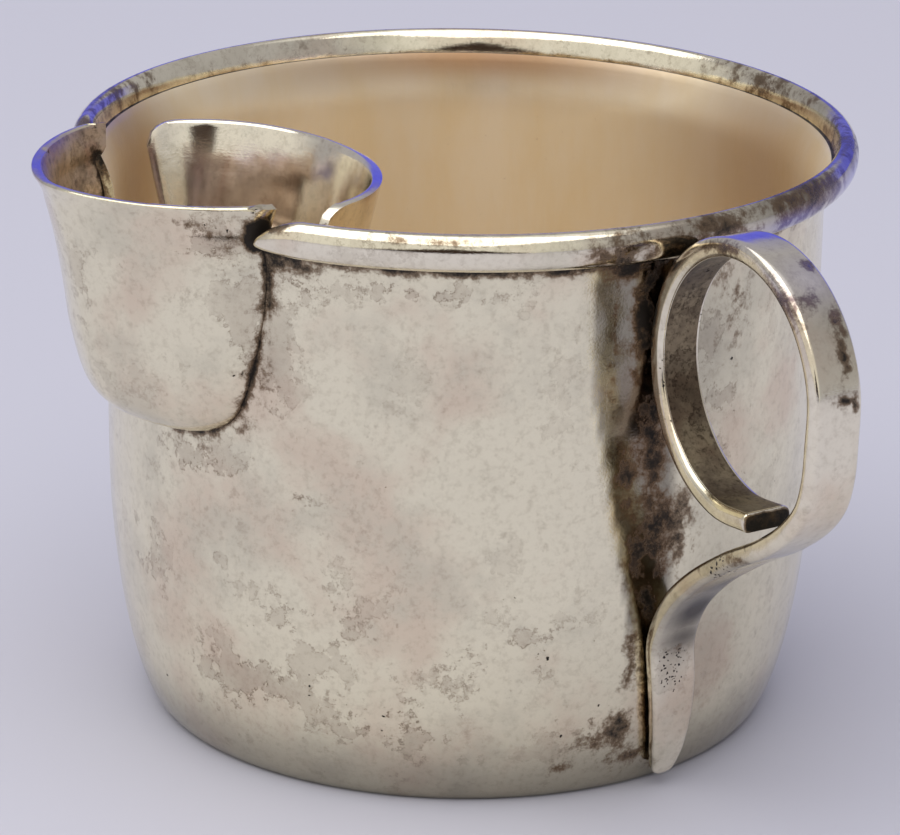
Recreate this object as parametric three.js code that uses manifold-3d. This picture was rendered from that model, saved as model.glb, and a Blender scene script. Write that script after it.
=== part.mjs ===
// A child's silver cup with a side spout, a guard plate inside the spout and a looped strap handle.
// Sizes are millimetres. +Z is up, the handle points along +X and the spout along -Y.
// The origin is the centre of the flat base.
import * as THREE from 'three';
import { mergeVertices } from 'three/addons/utils/BufferGeometryUtils.js';
import Module from 'manifold-3d';

const wasm = await Module();
wasm.setup();

// Fits
const solderGap = 0.3;

// Cup body
const turnSegments = 84;
const baseRadius = 30.5;
const lowerCurveHeight = 25.9;
const lowerCurvePower = 1.74;
const wallRadius = 36.0;
const wallTaper = 0.2;
const wallThickness = 1.0;
const wallHeight = 57.6;
const flareHeight = 5.4;
const flareReach = 1.35;
const lipThickness = 0.8;
const curveRows = 10;
const curveRowCrowding = 2.1;
const flareRows = 4;

const lowWallRadius = wallRadius - wallTaper;
const flareStart = wallHeight - flareHeight;
const lipRadius = wallRadius + flareReach;

// Spout
const spoutSheet = 1.0;
const spoutLipRise = 3.0;
const spoutLipHalfWidth = 17.3;
const spoutWaistHalfWidth = 15.7;
const spoutRootDepth = 3.2;
const spoutPlanPower = 1.64;
const spoutPlanPoints = 26;
const spoutRows = 15;
const spoutEndDrop = 1.2;
const spoutDropStart = 0.6;
const spoutDropFull = 3.0;
// Stations of the loft from the spout's foot to its lip: depth below the lip and reach beyond the wall.
const spoutStations = [
  { below: 25.2, halfWidth: 4.0, reach: 0.5 },
  { below: 24.6, halfWidth: 8.0, reach: 2.4 },
  { below: 23.7, halfWidth: 10.6, reach: 3.9 },
  { below: 21.8, halfWidth: 12.8, reach: 5.5 },
  { below: 16.9, halfWidth: 14.6, reach: 7.05 },
  { below: 11.6, halfWidth: spoutWaistHalfWidth, reach: 7.9 },
  { below: 5.9, halfWidth: 16.3, reach: 9.1 },
  { below: 2.1, halfWidth: 16.8, reach: 10.2 },
  { below: 0, halfWidth: spoutLipHalfWidth, reach: 11.5 },
];

const spoutLipHeight = wallHeight + spoutLipRise;

// Opening in the wall behind the spout
const openingDepth = 17.6;
const openingCornerDepth = 8.6;
const openingTopMargin = 0.7;
const openingSideMargin = 0.5;
const openingCornerInset = 5.7;
const openingOvershoot = 2;
const openingCornerSegments = 8;

// Rim wire
const wireOverhang = 0.63;
const wireRise = 0.5;
const wireHalfWidth = 1.27;
const wireHalfHeight = 1.82;
const wireNoseLength = 2.6;
const wireNoseShear = 1.3;
const wireNoseStations = [0.02, 0.12, 0.32, 0.62];
const wireSectionPoints = 14;
const wireSteps = 76;

const wireRadius = lipRadius + wireOverhang;
const wireCentreHeight = wallHeight + wireRise;

// Guard plate inside the spout opening
const guardSheet = 1.0;
const guardRise = 2.1;
const guardHeight = 30.2;
const guardTopInset = 8.9;
const guardFootInset = 2.2;
const guardStraightPart = 0.7;
const guardBendPower = 0.8;
const guardTopDepth = 12.7;
const guardDepthPower = 0.95;
const guardTopHalfWidth = 16.6;
const guardFootHalfWidth = 9.5;
const guardWidthPower = 0.9;
const guardCornerRadius = 2.2;
const guardCornerPart = 0.9;
const guardRows = 12;
const guardRowCrowding = 1.25;
const guardCols = 22;

// Handle
const strapThickness = 1.9;
const strapEdgeRadius = 0.55;
const strapEdgePart = 0.9;
const ringDrop = 10.3;
const ringHalfWidth = 12.65;
const ringHalfHeight = 13.0;
const ringStartAngle = -76;
const ringEndAngle = -372;
const ringStations = 12;
const strapStartWidth = 5.3;
const strapWallWidth = 4.7;
const strapWallPart = 0.35;
const strapOuterWidth = 5.4;
// The strap's run below the ring: distance in from the ring's outer side and rise above its underside.
const outerBend = [
  { inset: 0.55, rise: 7.1, width: 5.4 },
  { inset: 1.45, rise: 4.2, width: 5.4 },
  { inset: 3.55, rise: 1.6, width: 5.4 },
  { inset: 7.35, rise: -1.3, width: 5.3 },
];
// The strap's run back to the cup: distance off the wall and rise above the ring's underside.
const innerBend = [
  { offWall: 13.57, rise: -4.6, width: 5.2 },
  { offWall: 7.6, rise: -8.8, width: 5.1 },
  { offWall: 3.73, rise: -12.7, width: 5.0 },
];
// Outline of the leaf-shaped tail, by the part of its length from the last bend to the tip.
const tailOutline = [
  { part: 0.237, width: 5.2 },
  { part: 0.473, width: 5.1 },
  { part: 0.67, width: 4.6 },
  { part: 0.847, width: 3.7 },
  { part: 0.956, width: 2.5 },
  { part: 1, width: 1.3 },
];
const tailTipHeight = 1.3;
const tailTipThickness = 1.1;
const tailSideDrift = 2.7;
const tailDriftLead = 6.5;
const tailFit = 0.45;
const strapSteps = 100;

const ringCentreReach = wallRadius + solderGap + strapThickness / 2 + ringHalfWidth;
const ringCentreHeight = wallHeight - ringDrop;

const degrees = Math.PI / 180;
const weldDistance = 1e-5;
const slopeStep = 0.02;

// Turns a three.js geometry into a solid that can be cut and joined.
function toSolid(geometry) {
  const plain = geometry.clone();
  plain.deleteAttribute('normal');
  plain.deleteAttribute('uv');
  const merged = mergeVertices(plain, weldDistance);
  const index = merged.index.array;
  const kept = [];
  for (let i = 0; i < index.length; i += 3) {
    const [a, b, c] = [index[i], index[i + 1], index[i + 2]];
    if (a !== b && b !== c && c !== a) kept.push(a, b, c);
  }
  return new wasm.Manifold(new wasm.Mesh({
    numProp: 3,
    vertProperties: new Float32Array(merged.attributes.position.array),
    triVerts: new Uint32Array(kept),
  }));
}

// Turns a cut solid back into a three.js geometry.
function toGeometry(solid) {
  const mesh = solid.getMesh();
  const geometry = new THREE.BufferGeometry();
  const corners = new Float32Array(mesh.triVerts.length * 3);
  mesh.triVerts.forEach((vertex, i) => {
    for (let axis = 0; axis < 3; axis += 1) {
      corners[i * 3 + axis] = mesh.vertProperties[vertex * mesh.numProp + axis];
    }
  });
  geometry.setAttribute('position', new THREE.BufferAttribute(corners, 3));
  geometry.computeVertexNormals();
  return geometry;
}

// Revolves a profile of [radius, height] points about the Z axis.
function revolve(profile) {
  const points = profile.map(([radius, height]) => new THREE.Vector2(radius, height));
  return new THREE.LatheGeometry(points, turnSegments).rotateX(Math.PI / 2);
}

// Makes a geometry from rows of points, with the triangles given by row and column.
function surface(points, faces) {
  const geometry = new THREE.BufferGeometry();
  geometry.setAttribute('position', new THREE.Float32BufferAttribute(points.flatMap((p) => p.toArray()), 3));
  geometry.setIndex(faces);
  return geometry;
}

// Skins a row of closed sections and closes both ends with a fan about each end's middle.
function loft(sections) {
  const count = sections[0].length;
  const points = sections.flat();
  const faces = [];
  for (let row = 0; row < sections.length - 1; row += 1) {
    for (let col = 0; col < count; col += 1) {
      const next = (col + 1) % count;
      const a = row * count + col;
      const b = row * count + next;
      faces.push(a, b, b + count, a, b + count, a + count);
    }
  }
  const last = (sections.length - 1) * count;
  const middle = (section) => section.reduce((sum, p) => sum.add(p), new THREE.Vector3()).divideScalar(count);
  points.push(middle(sections[0]), middle(sections.at(-1)));
  for (let col = 0; col < count; col += 1) {
    const next = (col + 1) % count;
    faces.push(next, col, points.length - 2);
    faces.push(last + col, last + next, points.length - 1);
  }
  return surface(points, faces);
}

// Thickens a sheet given as a grid of points, each with a copy set back by the sheet's thickness.
function thicken(grid, thickness) {
  const rows = grid.length;
  const cols = grid[0].length;
  const clampRow = (row) => Math.min(Math.max(row, 0), rows - 1);
  const clampCol = (col) => Math.min(Math.max(col, 0), cols - 1);
  const front = grid.flat();
  const back = [];
  for (let row = 0; row < rows; row += 1) {
    for (let col = 0; col < cols; col += 1) {
      const across = grid[row][clampCol(col + 1)].clone().sub(grid[row][clampCol(col - 1)]);
      const along = grid[clampRow(row + 1)][col].clone().sub(grid[clampRow(row - 1)][col]);
      const normal = across.cross(along).normalize();
      back.push(grid[row][col].clone().addScaledVector(normal, -thickness));
    }
  }
  const faces = [];
  const shift = front.length;
  const quad = (a, b, c, d) => faces.push(a, b, c, a, c, d);
  for (let row = 0; row < rows - 1; row += 1) {
    for (let col = 0; col < cols - 1; col += 1) {
      const a = row * cols + col;
      quad(a, a + 1, a + cols + 1, a + cols);
      quad(shift + a, shift + a + cols, shift + a + cols + 1, shift + a + 1);
    }
  }
  for (let col = 0; col < cols - 1; col += 1) {
    const top = (rows - 1) * cols + col;
    quad(col + 1, col, shift + col, shift + col + 1);
    quad(top, top + 1, shift + top + 1, shift + top);
  }
  for (let row = 0; row < rows - 1; row += 1) {
    const left = row * cols;
    const right = left + cols - 1;
    quad(left, left + cols, shift + left + cols, shift + left);
    quad(right + cols, right, shift + right, shift + right + cols);
  }
  return surface([...front, ...back], faces);
}

// Outer radius of the cup's wall at a height.
function wallOuterRadius(height) {
  if (height < lowerCurveHeight) {
    const down = (lowerCurveHeight - Math.max(height, 0)) / lowerCurveHeight;
    const out = (1 - down ** lowerCurvePower) ** (1 / lowerCurvePower);
    return baseRadius + (lowWallRadius - baseRadius) * out;
  }
  const rise = (height - lowerCurveHeight) / (flareStart - lowerCurveHeight);
  if (rise <= 1) return lowWallRadius + wallTaper * rise;
  const flare = (height - flareStart) / flareHeight;
  return wallRadius + flareReach * flare ** 2;
}

// The wall's outer profile from the base up, offset sideways along its normal (inward if negative).
function wallProfile(offset, topOffset = offset) {
  const rows = (count, place) => Array.from({ length: count }, (_, i) => place(i / count));
  const curve = rows(curveRows, (part) => lowerCurveHeight * part ** curveRowCrowding);
  const flare = rows(flareRows, (part) => flareStart + flareHeight * part);
  return [...curve, lowerCurveHeight, ...flare, wallHeight].map((height) => {
    const low = Math.max(height - slopeStep, 0);
    const high = Math.min(height + slopeStep, wallHeight);
    const slope = (wallOuterRadius(high) - wallOuterRadius(low)) / (high - low);
    const length = Math.hypot(1, slope);
    const atBase = height === 0;
    const move = height > flareStart
      ? offset + (topOffset - offset) * (height - flareStart) / flareHeight
      : offset;
    const radius = wallOuterRadius(height) + (atBase ? 0 : move / length);
    const level = height === wallHeight ? height : height - (atBase ? move : move * slope / length);
    return [radius, level];
  });
}

// The raised body: flat base, curved lower wall, near-straight side and a flared lip with a flat top.
function cupBody() {
  const outer = wallProfile(0);
  const inner = wallProfile(-wallThickness, -lipThickness).reverse();
  const shell = toSolid(revolve([[0, 0], ...outer, ...inner, [0, wallThickness]]));
  const topSide = spoutLipHalfWidth - spoutSheet - openingTopMargin;
  const side = spoutWaistHalfWidth - spoutSheet - openingSideMargin;
  const floorSide = side - openingCornerInset;
  const floor = wallHeight - openingDepth;
  const cornerTop = wallHeight - openingCornerDepth;
  const opening = new THREE.Shape();
  opening.moveTo(-topSide, wallHeight);
  opening.lineTo(-side, cornerTop);
  opening.quadraticCurveTo(-side, floor, -floorSide, floor);
  opening.lineTo(floorSide, floor);
  opening.quadraticCurveTo(side, floor, side, cornerTop);
  opening.lineTo(topSide, wallHeight);
  opening.lineTo(topSide, wallHeight + openingOvershoot);
  opening.lineTo(-topSide, wallHeight + openingOvershoot);
  const depth = lipRadius / 2;
  const form = { depth, bevelEnabled: false, curveSegments: openingCornerSegments };
  const cutter = new THREE.ExtrudeGeometry(opening, form);
  cutter.rotateX(Math.PI / 2).translate(0, -depth, 0);
  return toGeometry(shell.subtract(toSolid(cutter)));
}

// The applied rim wire: an oval wire that sits on the lip and stops short of the spout with rounded ends.
function rimWire() {
  const sections = [];
  const firstAngle = Math.asin(spoutLipHalfWidth / wireRadius);
  const sweep = 2 * Math.PI - 2 * firstAngle;
  const noseSweep = wireNoseLength / wireRadius;
  const nose = wireNoseStations.map((part) => part * noseSweep);
  const middle = Array.from(
    { length: wireSteps + 1 },
    (_, i) => THREE.MathUtils.lerp(noseSweep, sweep - noseSweep, i / wireSteps),
  );
  const stations = [...nose, ...middle, ...nose.map((angle) => sweep - angle).reverse()];
  for (const station of stations) {
    const fromEnd = Math.min(station, sweep - station);
    const part = Math.min(fromEnd / noseSweep, 1);
    const scale = Math.sqrt(1 - (1 - part) ** 2);
    const side = station < sweep / 2 ? 1 : -1;
    const section = [];
    for (let i = 0; i < wireSectionPoints; i += 1) {
      const turn = (i / wireSectionPoints) * 2 * Math.PI;
      const across = wireHalfWidth * scale * Math.cos(turn);
      const lean = side * wireNoseShear * (1 - part) * across / wireRadius;
      const angle = -Math.PI / 2 + firstAngle + station - lean;
      const radius = wireRadius + across;
      const height = wireCentreHeight + wireHalfHeight * scale * Math.sin(turn);
      section.push(new THREE.Vector3(radius * Math.cos(angle), radius * Math.sin(angle), height));
    }
    sections.push(section.reverse());
  }
  const seat = lipRadius + solderGap;
  const rebate = revolve([[0, flareStart], [seat, flareStart], [seat, wallHeight], [0, wallHeight]]);
  return toGeometry(toSolid(loft(sections)).subtract(toSolid(rebate)));
}

// The formed spout: a channel with a broad rounded nose and a flared lip, closed below and open above.
function spout() {
  const points = spoutStations.map(
    ({ below, halfWidth, reach }) => new THREE.Vector3(halfWidth, wallRadius + reach, spoutLipHeight - below),
  );
  const spine = new THREE.CatmullRomCurve3(points, false, 'centripetal');
  const grid = spine.getPoints(spoutRows).map((station) => {
    const root = Math.sqrt(wallRadius ** 2 - station.x ** 2);
    const outline = [[root - spoutRootDepth, -station.x]];
    for (let i = 0; i <= spoutPlanPoints; i += 1) {
      const turn = -Math.PI / 2 + Math.PI * (i / spoutPlanPoints);
      const out = Math.abs(Math.cos(turn)) ** (2 / spoutPlanPower);
      const side = Math.sign(turn) * Math.abs(Math.sin(turn)) ** (2 / spoutPlanPower);
      outline.push([root + (station.y - root) * out, station.x * side]);
    }
    outline.push([root - spoutRootDepth, station.x]);
    const upper = Math.max((station.z - wallHeight) / spoutLipRise, 0);
    return outline.map(([away, side]) => {
      const inside = wireRadius + wireHalfWidth - Math.hypot(away, side);
      const nearWall = THREE.MathUtils.smoothstep(inside, spoutDropStart, spoutDropFull);
      return new THREE.Vector3(side, -away, station.z - spoutEndDrop * upper * nearWall);
    });
  });
  const sheet = toSolid(thicken(grid, spoutSheet));
  const seat = wallProfile(solderGap);
  const innerRadius = lipRadius - lipThickness - solderGap;
  const clear = wallRadius + spoutStations.at(-1).reach + spoutSheet;
  const keepOut = revolve([
    [0, -solderGap], ...seat,
    [lipRadius + solderGap, wallHeight + solderGap],
    [innerRadius, wallHeight + solderGap],
    [innerRadius, spoutLipHeight],
    [clear, spoutLipHeight],
    [clear, spoutLipHeight + spoutSheet],
    [0, spoutLipHeight + spoutSheet],
  ]);
  return toGeometry(sheet.subtract(toSolid(keepOut)));
}

// The guard plate: a flared, curved sheet that stands in the cup before the spout, soldered at its foot.
function guardPlate() {
  const top = wallHeight + guardRise;
  const foot = top - guardHeight;
  const grid = [];
  for (let row = 0; row <= guardRows; row += 1) {
    const up = 1 - (1 - row / guardRows) ** guardRowCrowding;
    const lean = Math.min(up / guardStraightPart, 1) ** guardBendPower;
    const centre = wallRadius - THREE.MathUtils.lerp(guardFootInset, guardTopInset, lean);
    const depth = guardTopDepth * up ** guardDepthPower;
    const half = THREE.MathUtils.lerp(guardFootHalfWidth, guardTopHalfWidth, up ** guardWidthPower);
    const line = [];
    for (let col = 0; col <= guardCols; col += 1) {
      const turn = -Math.PI / 2 + Math.PI * (col / guardCols);
      const side = half * Math.sin(turn);
      const away = centre - depth * Math.cos(turn);
      const fromEdge = (1 - Math.abs(turn) / (Math.PI / 2)) * half * guardCornerPart;
      const cut = Math.max(1 - fromEdge / guardCornerRadius, 0);
      const drop = guardCornerRadius * (1 - Math.sqrt(1 - cut ** 2));
      line.push(new THREE.Vector3(side, -away, THREE.MathUtils.lerp(foot, top - drop, up)));
    }
    grid.push(line);
  }
  const inside = wallProfile(-wallThickness - solderGap, -lipThickness - solderGap);
  const above = top + guardSheet;
  const hollow = revolve([[0, wallThickness], ...inside, [inside.at(-1)[0], above], [0, above]]);
  const sheet = toSolid(thicken(grid, guardSheet));
  return toGeometry(sheet.intersect(toSolid(hollow)));
}

// The handle's centre line from its cut end, round the ring, back to the wall and down the tail.
function strapPath() {
  const ring = Array.from({ length: ringStations + 1 }, (_, i) => {
    const part = i / ringStations;
    const angle = THREE.MathUtils.lerp(ringStartAngle, ringEndAngle, part) * degrees;
    const width = part < strapWallPart
      ? THREE.MathUtils.lerp(strapStartWidth, strapWallWidth, part / strapWallPart)
      : THREE.MathUtils.mapLinear(part, strapWallPart, 1, strapWallWidth, strapOuterWidth);
    return {
      reach: ringCentreReach + ringHalfWidth * Math.cos(angle),
      height: ringCentreHeight + ringHalfHeight * Math.sin(angle),
      width,
    };
  });
  const underside = ringCentreHeight - ringHalfHeight;
  const outerRun = outerBend.map(({ inset, rise, width }) => (
    { reach: ringCentreReach + ringHalfWidth - inset, height: underside + rise, width }
  ));
  const innerRun = innerBend.map(({ offWall, rise, width }) => (
    { reach: wallOuterRadius(underside + rise) + offWall, height: underside + rise, width }
  ));
  const tailTop = innerRun.at(-1).height;
  const tail = tailOutline.map(({ part, width }) => {
    const height = THREE.MathUtils.lerp(tailTop, tailTipHeight, part);
    const thickness = THREE.MathUtils.lerp(strapThickness, tailTipThickness, part);
    return { reach: wallOuterRadius(height) + tailFit + thickness / 2, height, width, thickness };
  });
  const run = [...ring, ...outerRun, ...innerRun, ...tail];
  return run.map(({ reach, height, width, thickness = strapThickness }) => {
    const sunk = THREE.MathUtils.smoothstep(-height, -tailTop - tailDriftLead, -tailTipHeight);
    return { point: new THREE.Vector3(reach, tailSideDrift * sunk, height), width, thickness };
  });
}

// The strap handle: one strap with rounded edges swept along its path, tapering to a leaf-shaped tail.
function handle() {
  const path = strapPath();
  const curve = new THREE.CatmullRomCurve3(path.map((station) => station.point), false, 'centripetal');
  const spread = (values, t) => {
    const place = t * (values.length - 1);
    const low = Math.min(Math.floor(place), values.length - 2);
    return THREE.MathUtils.lerp(values[low], values[low + 1], place - low);
  };
  const sections = [];
  const sideways = new THREE.Vector3(0, 1, 0);
  for (let i = 0; i <= strapSteps; i += 1) {
    const t = i / strapSteps;
    const centre = curve.getPoint(t);
    const along = curve.getTangent(t);
    const outward = along.clone().cross(sideways).normalize();
    const halfWidth = spread(path.map((station) => station.width), t) / 2;
    const halfThick = spread(path.map((station) => station.thickness), t) / 2;
    const edge = Math.min(strapEdgeRadius, halfWidth * strapEdgePart, halfThick * strapEdgePart);
    const section = [];
    for (const [sx, sy, start] of [[1, 1, 0], [-1, 1, 90], [-1, -1, 180], [1, -1, 270]]) {
      for (const turn of [0, 45, 90]) {
        const angle = (start + turn) * degrees;
        const across = sx * (halfWidth - edge) + edge * Math.cos(angle);
        const over = sy * (halfThick - edge) + edge * Math.sin(angle);
        section.push(centre.clone().addScaledVector(sideways, across).addScaledVector(outward, over));
      }
    }
    sections.push(section);
  }
  return toGeometry(toSolid(loft(sections)));
}

function silver(colour, roughness) {
  return new THREE.MeshStandardMaterial({ color: colour, roughness, metalness: 1 });
}

function piece(name, geometry, material) {
  const mesh = new THREE.Mesh(geometry, material);
  mesh.name = name;
  return mesh;
}

const cup = new THREE.Group();
cup.add(piece('cup_body', cupBody(), silver(0xb9b0a0, 0.34)));
cup.add(piece('rim_wire', rimWire(), silver(0xb4ab9b, 0.28)));
cup.add(piece('spout', spout(), silver(0xb5ab99, 0.34)));
cup.add(piece('guard_plate', guardPlate(), silver(0xb8b2a6, 0.3)));
cup.add(piece('handle', handle(), silver(0xb7ad9c, 0.32)));

export default cup;
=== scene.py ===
"""A child's silver cup with a side spout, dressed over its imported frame.

Everything is in the frame's axes: +Z up, the handle along +X and the spout along -Y.
Sizes in the classes are millimetres, and meshes are metres.
"""

import logging
import math
from dataclasses import dataclass
from enum import Enum
from typing import Callable, ClassVar, Protocol, Sequence

import bmesh
import bpy
from mathutils import Matrix, Vector
from mathutils.bvhtree import BVHTree


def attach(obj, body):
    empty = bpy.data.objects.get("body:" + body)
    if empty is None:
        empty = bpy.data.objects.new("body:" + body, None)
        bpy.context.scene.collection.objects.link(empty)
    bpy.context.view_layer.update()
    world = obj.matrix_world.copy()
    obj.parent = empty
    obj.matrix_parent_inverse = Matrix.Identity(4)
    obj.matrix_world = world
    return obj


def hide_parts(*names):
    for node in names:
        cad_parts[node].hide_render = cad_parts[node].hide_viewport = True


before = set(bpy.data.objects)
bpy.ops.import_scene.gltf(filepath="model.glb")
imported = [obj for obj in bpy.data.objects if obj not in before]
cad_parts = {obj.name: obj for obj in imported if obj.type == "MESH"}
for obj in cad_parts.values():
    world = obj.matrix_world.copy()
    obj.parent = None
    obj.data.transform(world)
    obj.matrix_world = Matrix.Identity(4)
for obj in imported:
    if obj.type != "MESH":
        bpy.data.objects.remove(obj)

LOG = logging.getLogger("cup")
MM = 0.001
BODY = "root"

# Two places closer together than this, in metres, count as one.
NEAR = MM / 100
# A length is stretched by this much where all that lies within it must be caught.
JUST_PAST = 1.001
# What is filed off the top edge of a sheet, in millimetres.
FILED = 0.02
EDGE_SEGMENTS = 4
SHARP_ANGLE = math.radians(50)
SMOOTH_ANGLE = math.radians(40)

# The Mix node's colour inputs and output, by their place among its sockets.
MIX_FACTOR, MIX_A, MIX_B, MIX_RESULT = 0, 6, 7, 2
SMOOTH = {"interpolation_type": "SMOOTHSTEP"}
COLOURS = {"data_type": "RGBA", "out": MIX_RESULT}
# The attribute that holds how near another piece lies.
NEARNESS = "nearness"

Piece = bpy.types.Object
Tree = bpy.types.NodeTree
Socket = bpy.types.NodeSocket
Triple = tuple[float, float, float]


class Face(Enum):
    """Which finish a face shows, by its material slot."""

    OUTSIDE = 0
    INSIDE = 1


class Layer(Enum):
    """Marks of use, painted shade and painted reflection, each held in the meshes as the attribute of
    this name.
    """

    TARNISH_AND_SHADE = "tarnish"
    WEAR = "wear"
    BLUE_REFLECTION = "violet"
    PAINTED_SHADE = "veil"


# Small helpers


def linear(code: str) -> tuple[float, float, float, float]:
    """Turns an sRGB hex colour into linear light.

    Args:
        code: A colour such as "#C8BFAE".

    Returns:
        Linear red, green, blue and an alpha of one.
    """
    parts = [int(code[i : i + 2], 16) / 255 for i in (1, 3, 5)]
    knee, slope, offset, power = 0.04045, 12.92, 0.055, 2.4
    light = [c / slope if c <= knee else ((c + offset) / (1 + offset)) ** power for c in parts]
    return (light[0], light[1], light[2], 1.0)


def lerp(start: float, end: float, part: float) -> float:
    """Blends two values, part 0 giving the first and part 1 the second."""
    return start + (end - start) * part


def smoothstep(value: float, low: float, high: float) -> float:
    """Rises smoothly from 0 at low to 1 at high."""
    part = min(max((value - low) / (high - low), 0.0), 1.0)
    return part * part * (3 - 2 * part)


def per(size: float) -> float:
    """Gives a texture's scale for a pattern size in millimetres."""
    return 1 / (size * MM)


def catmull_rom(points: Sequence[Vector], steps: int) -> list[Vector]:
    """Draws a smooth line through points, evenly in its centripetal parameter.

    Args:
        points: The points that the line passes through.
        steps: Pieces that each span between two points is cut into.

    Returns:
        The points of the line, both ends included.
    """
    padded = [points[0] * 2 - points[1], *points, points[-1] * 2 - points[-2]]
    line = []
    for i in range(1, len(padded) - 2):
        p0, p1, p2, p3 = padded[i - 1 : i + 3]
        t1 = (p1 - p0).length ** 0.5
        t2 = t1 + (p2 - p1).length ** 0.5
        t3 = t2 + (p3 - p2).length ** 0.5
        for step in range(steps):
            t = lerp(t1, t2, step / steps)
            a1 = p0.lerp(p1, t / t1)
            a2 = p1.lerp(p2, (t - t1) / (t2 - t1))
            a3 = p2.lerp(p3, (t - t2) / (t3 - t2))
            b1 = a1.lerp(a2, t / t2)
            b2 = a2.lerp(a3, (t - t1) / (t3 - t1))
            line.append(b1.lerp(b2, (t - t1) / (t2 - t1)))
    line.append(points[-1].copy())
    return line


# Edit mode tools


def deselect_all() -> None:
    """Leaves edit mode and deselects every object."""
    if bpy.context.mode != "OBJECT":
        bpy.ops.object.mode_set(mode="OBJECT")
    bpy.ops.object.select_all(action="DESELECT")


def make_active(piece: Piece) -> None:
    """Selects one object alone and makes it the active one."""
    deselect_all()
    piece.select_set(True)
    bpy.context.view_layer.objects.active = piece


def edit_all(piece: Piece) -> None:
    """Enters edit mode on one piece alone, with all of its mesh selected."""
    make_active(piece)
    bpy.ops.object.mode_set(mode="EDIT")
    bpy.ops.mesh.select_all(action="SELECT")


def select_vertices(test: Callable[[Vector], bool]) -> None:
    """Selects the vertices of the mesh in edit mode whose place passes a test.

    Args:
        test: Takes a vertex's place in metres and says whether it is wanted.
    """
    bpy.ops.mesh.select_all(action="DESELECT")
    mesh = bpy.context.edit_object.data
    work = bmesh.from_edit_mesh(mesh)
    for vertex in work.verts:
        vertex.select_set(test(vertex.co))
    work.select_flush(True)
    bmesh.update_edit_mesh(mesh)


def extrude_row(step: Vector, grow: Sequence[float], about: Sequence[float]) -> None:
    """Extrudes what is selected and scales the new row.

    Args:
        step: How far the new row lies from the last, in metres.
        grow: The new row's scale on each axis.
        about: The point that it is scaled about, in metres.
    """
    bpy.ops.mesh.extrude_region_move(TRANSFORM_OT_translate={"value": step})
    bpy.ops.transform.resize(value=grow, center_override=about)


def pull_down(drop: float, reach: float) -> None:
    """Moves the selected vertices down, and those round them less the further off they lie.

    Args:
        drop: Distance down in millimetres.
        reach: Distance in millimetres over which the pull fades.
    """
    bpy.ops.transform.translate(
        value=(0, 0, -drop * MM),
        use_proportional_edit=True,
        proportional_edit_falloff="SMOOTH",
        proportional_size=reach * MM,
    )


def apply_modifiers(piece: Piece) -> None:
    """Applies every modifier of a piece, in order."""
    make_active(piece)
    for name in [modifier.name for modifier in piece.modifiers]:
        bpy.ops.object.modifier_apply(modifier=name)


def draw_line(name: str, points: Sequence[Vector]) -> Piece:
    """Draws a line of edges by extruding one vertex from point to point, and stays in edit mode.

    Args:
        name: The new object's name.
        points: The line's points in metres.

    Returns:
        The new object, with its last point selected.
    """
    deselect_all()
    bpy.ops.mesh.primitive_plane_add(size=MM, location=points[0])
    piece = bpy.context.active_object
    piece.name = name
    bpy.ops.object.transform_apply(location=True)
    bpy.ops.object.mode_set(mode="EDIT")
    bpy.ops.mesh.merge(type="CENTER")
    for last, point in zip(points, points[1:]):
        step = {"value": point - last}
        bpy.ops.mesh.extrude_region_move(TRANSFORM_OT_translate=step)
    return piece


def recalculate_faces(piece: Piece, weld: float = 0.01) -> None:
    """Merges doubles and turns every face of a piece outwards.

    Args:
        piece: A mesh object.
        weld: Distance in millimetres under which vertices merge.
    """
    edit_all(piece)
    bpy.ops.mesh.remove_doubles(threshold=weld * MM)
    bpy.ops.mesh.normals_make_consistent(inside=False)
    bpy.ops.object.mode_set(mode="OBJECT")


def face_away(piece: Piece, middle: Vector) -> None:
    """Turns the faces of an open surface so that they look away from a point.

    Args:
        piece: A surface with one side.
        middle: The point, in metres.
    """
    faces = piece.data.polygons
    away = sum((face.normal.dot(face.center - middle) * face.area for face in faces), 0.0)
    if away < 0:
        edit_all(piece)
        bpy.ops.mesh.flip_normals()
        bpy.ops.object.mode_set(mode="OBJECT")


def add_sheet(piece: Piece, thickness: float, edge_round: float, top: float) -> None:
    """Gives a surface its sheet thickness, on the side that its faces look away from.

    Args:
        piece: A surface with its faces turned outwards.
        thickness: Sheet thickness in millimetres.
        edge_round: Radius of the sheet's edges in millimetres.
        top: Height in millimetres at which the sheet is filed flat.
    """
    for _ in Face:
        piece.data.materials.append(None)
    sheet = piece.modifiers.new("sheet", "SOLIDIFY")
    sheet.thickness = thickness * MM
    sheet.offset = -1
    sheet.use_even_offset = True
    sheet.material_offset = 1
    apply_modifiers(piece)
    edit_all(piece)
    bpy.ops.mesh.bisect(plane_co=(0, 0, top * MM), plane_no=(0, 0, 1), clear_outer=True, use_fill=True)
    bpy.ops.mesh.quads_convert_to_tris(ngon_method="BEAUTY")
    bpy.ops.mesh.region_to_loop()
    bpy.ops.mesh.bevel(
        offset=edge_round * MM, segments=EDGE_SEGMENTS, affect="EDGES", clamp_overlap=False
    )
    bpy.ops.mesh.select_mode(type="VERT")
    bpy.ops.object.mode_set(mode="OBJECT")
    rounded = piece.modifiers.new("edges", "BEVEL")
    rounded.width = edge_round * MM
    rounded.segments = EDGE_SEGMENTS
    rounded.limit_method = "ANGLE"
    rounded.angle_limit = SHARP_ANGLE
    apply_modifiers(piece)


def add_run_map(piece: Piece) -> None:
    """Stores where each point of a straight strap lies along and across it as a UV map, in metres.

    Args:
        piece: The strap before it is bent.
    """
    run_map = piece.data.uv_layers.new(name="run")
    for loop in piece.data.loops:
        at = piece.data.vertices[loop.vertex_index].co
        run_map.data[loop.index].uv = (at.x, at.z)


# The form that the pieces share


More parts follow.
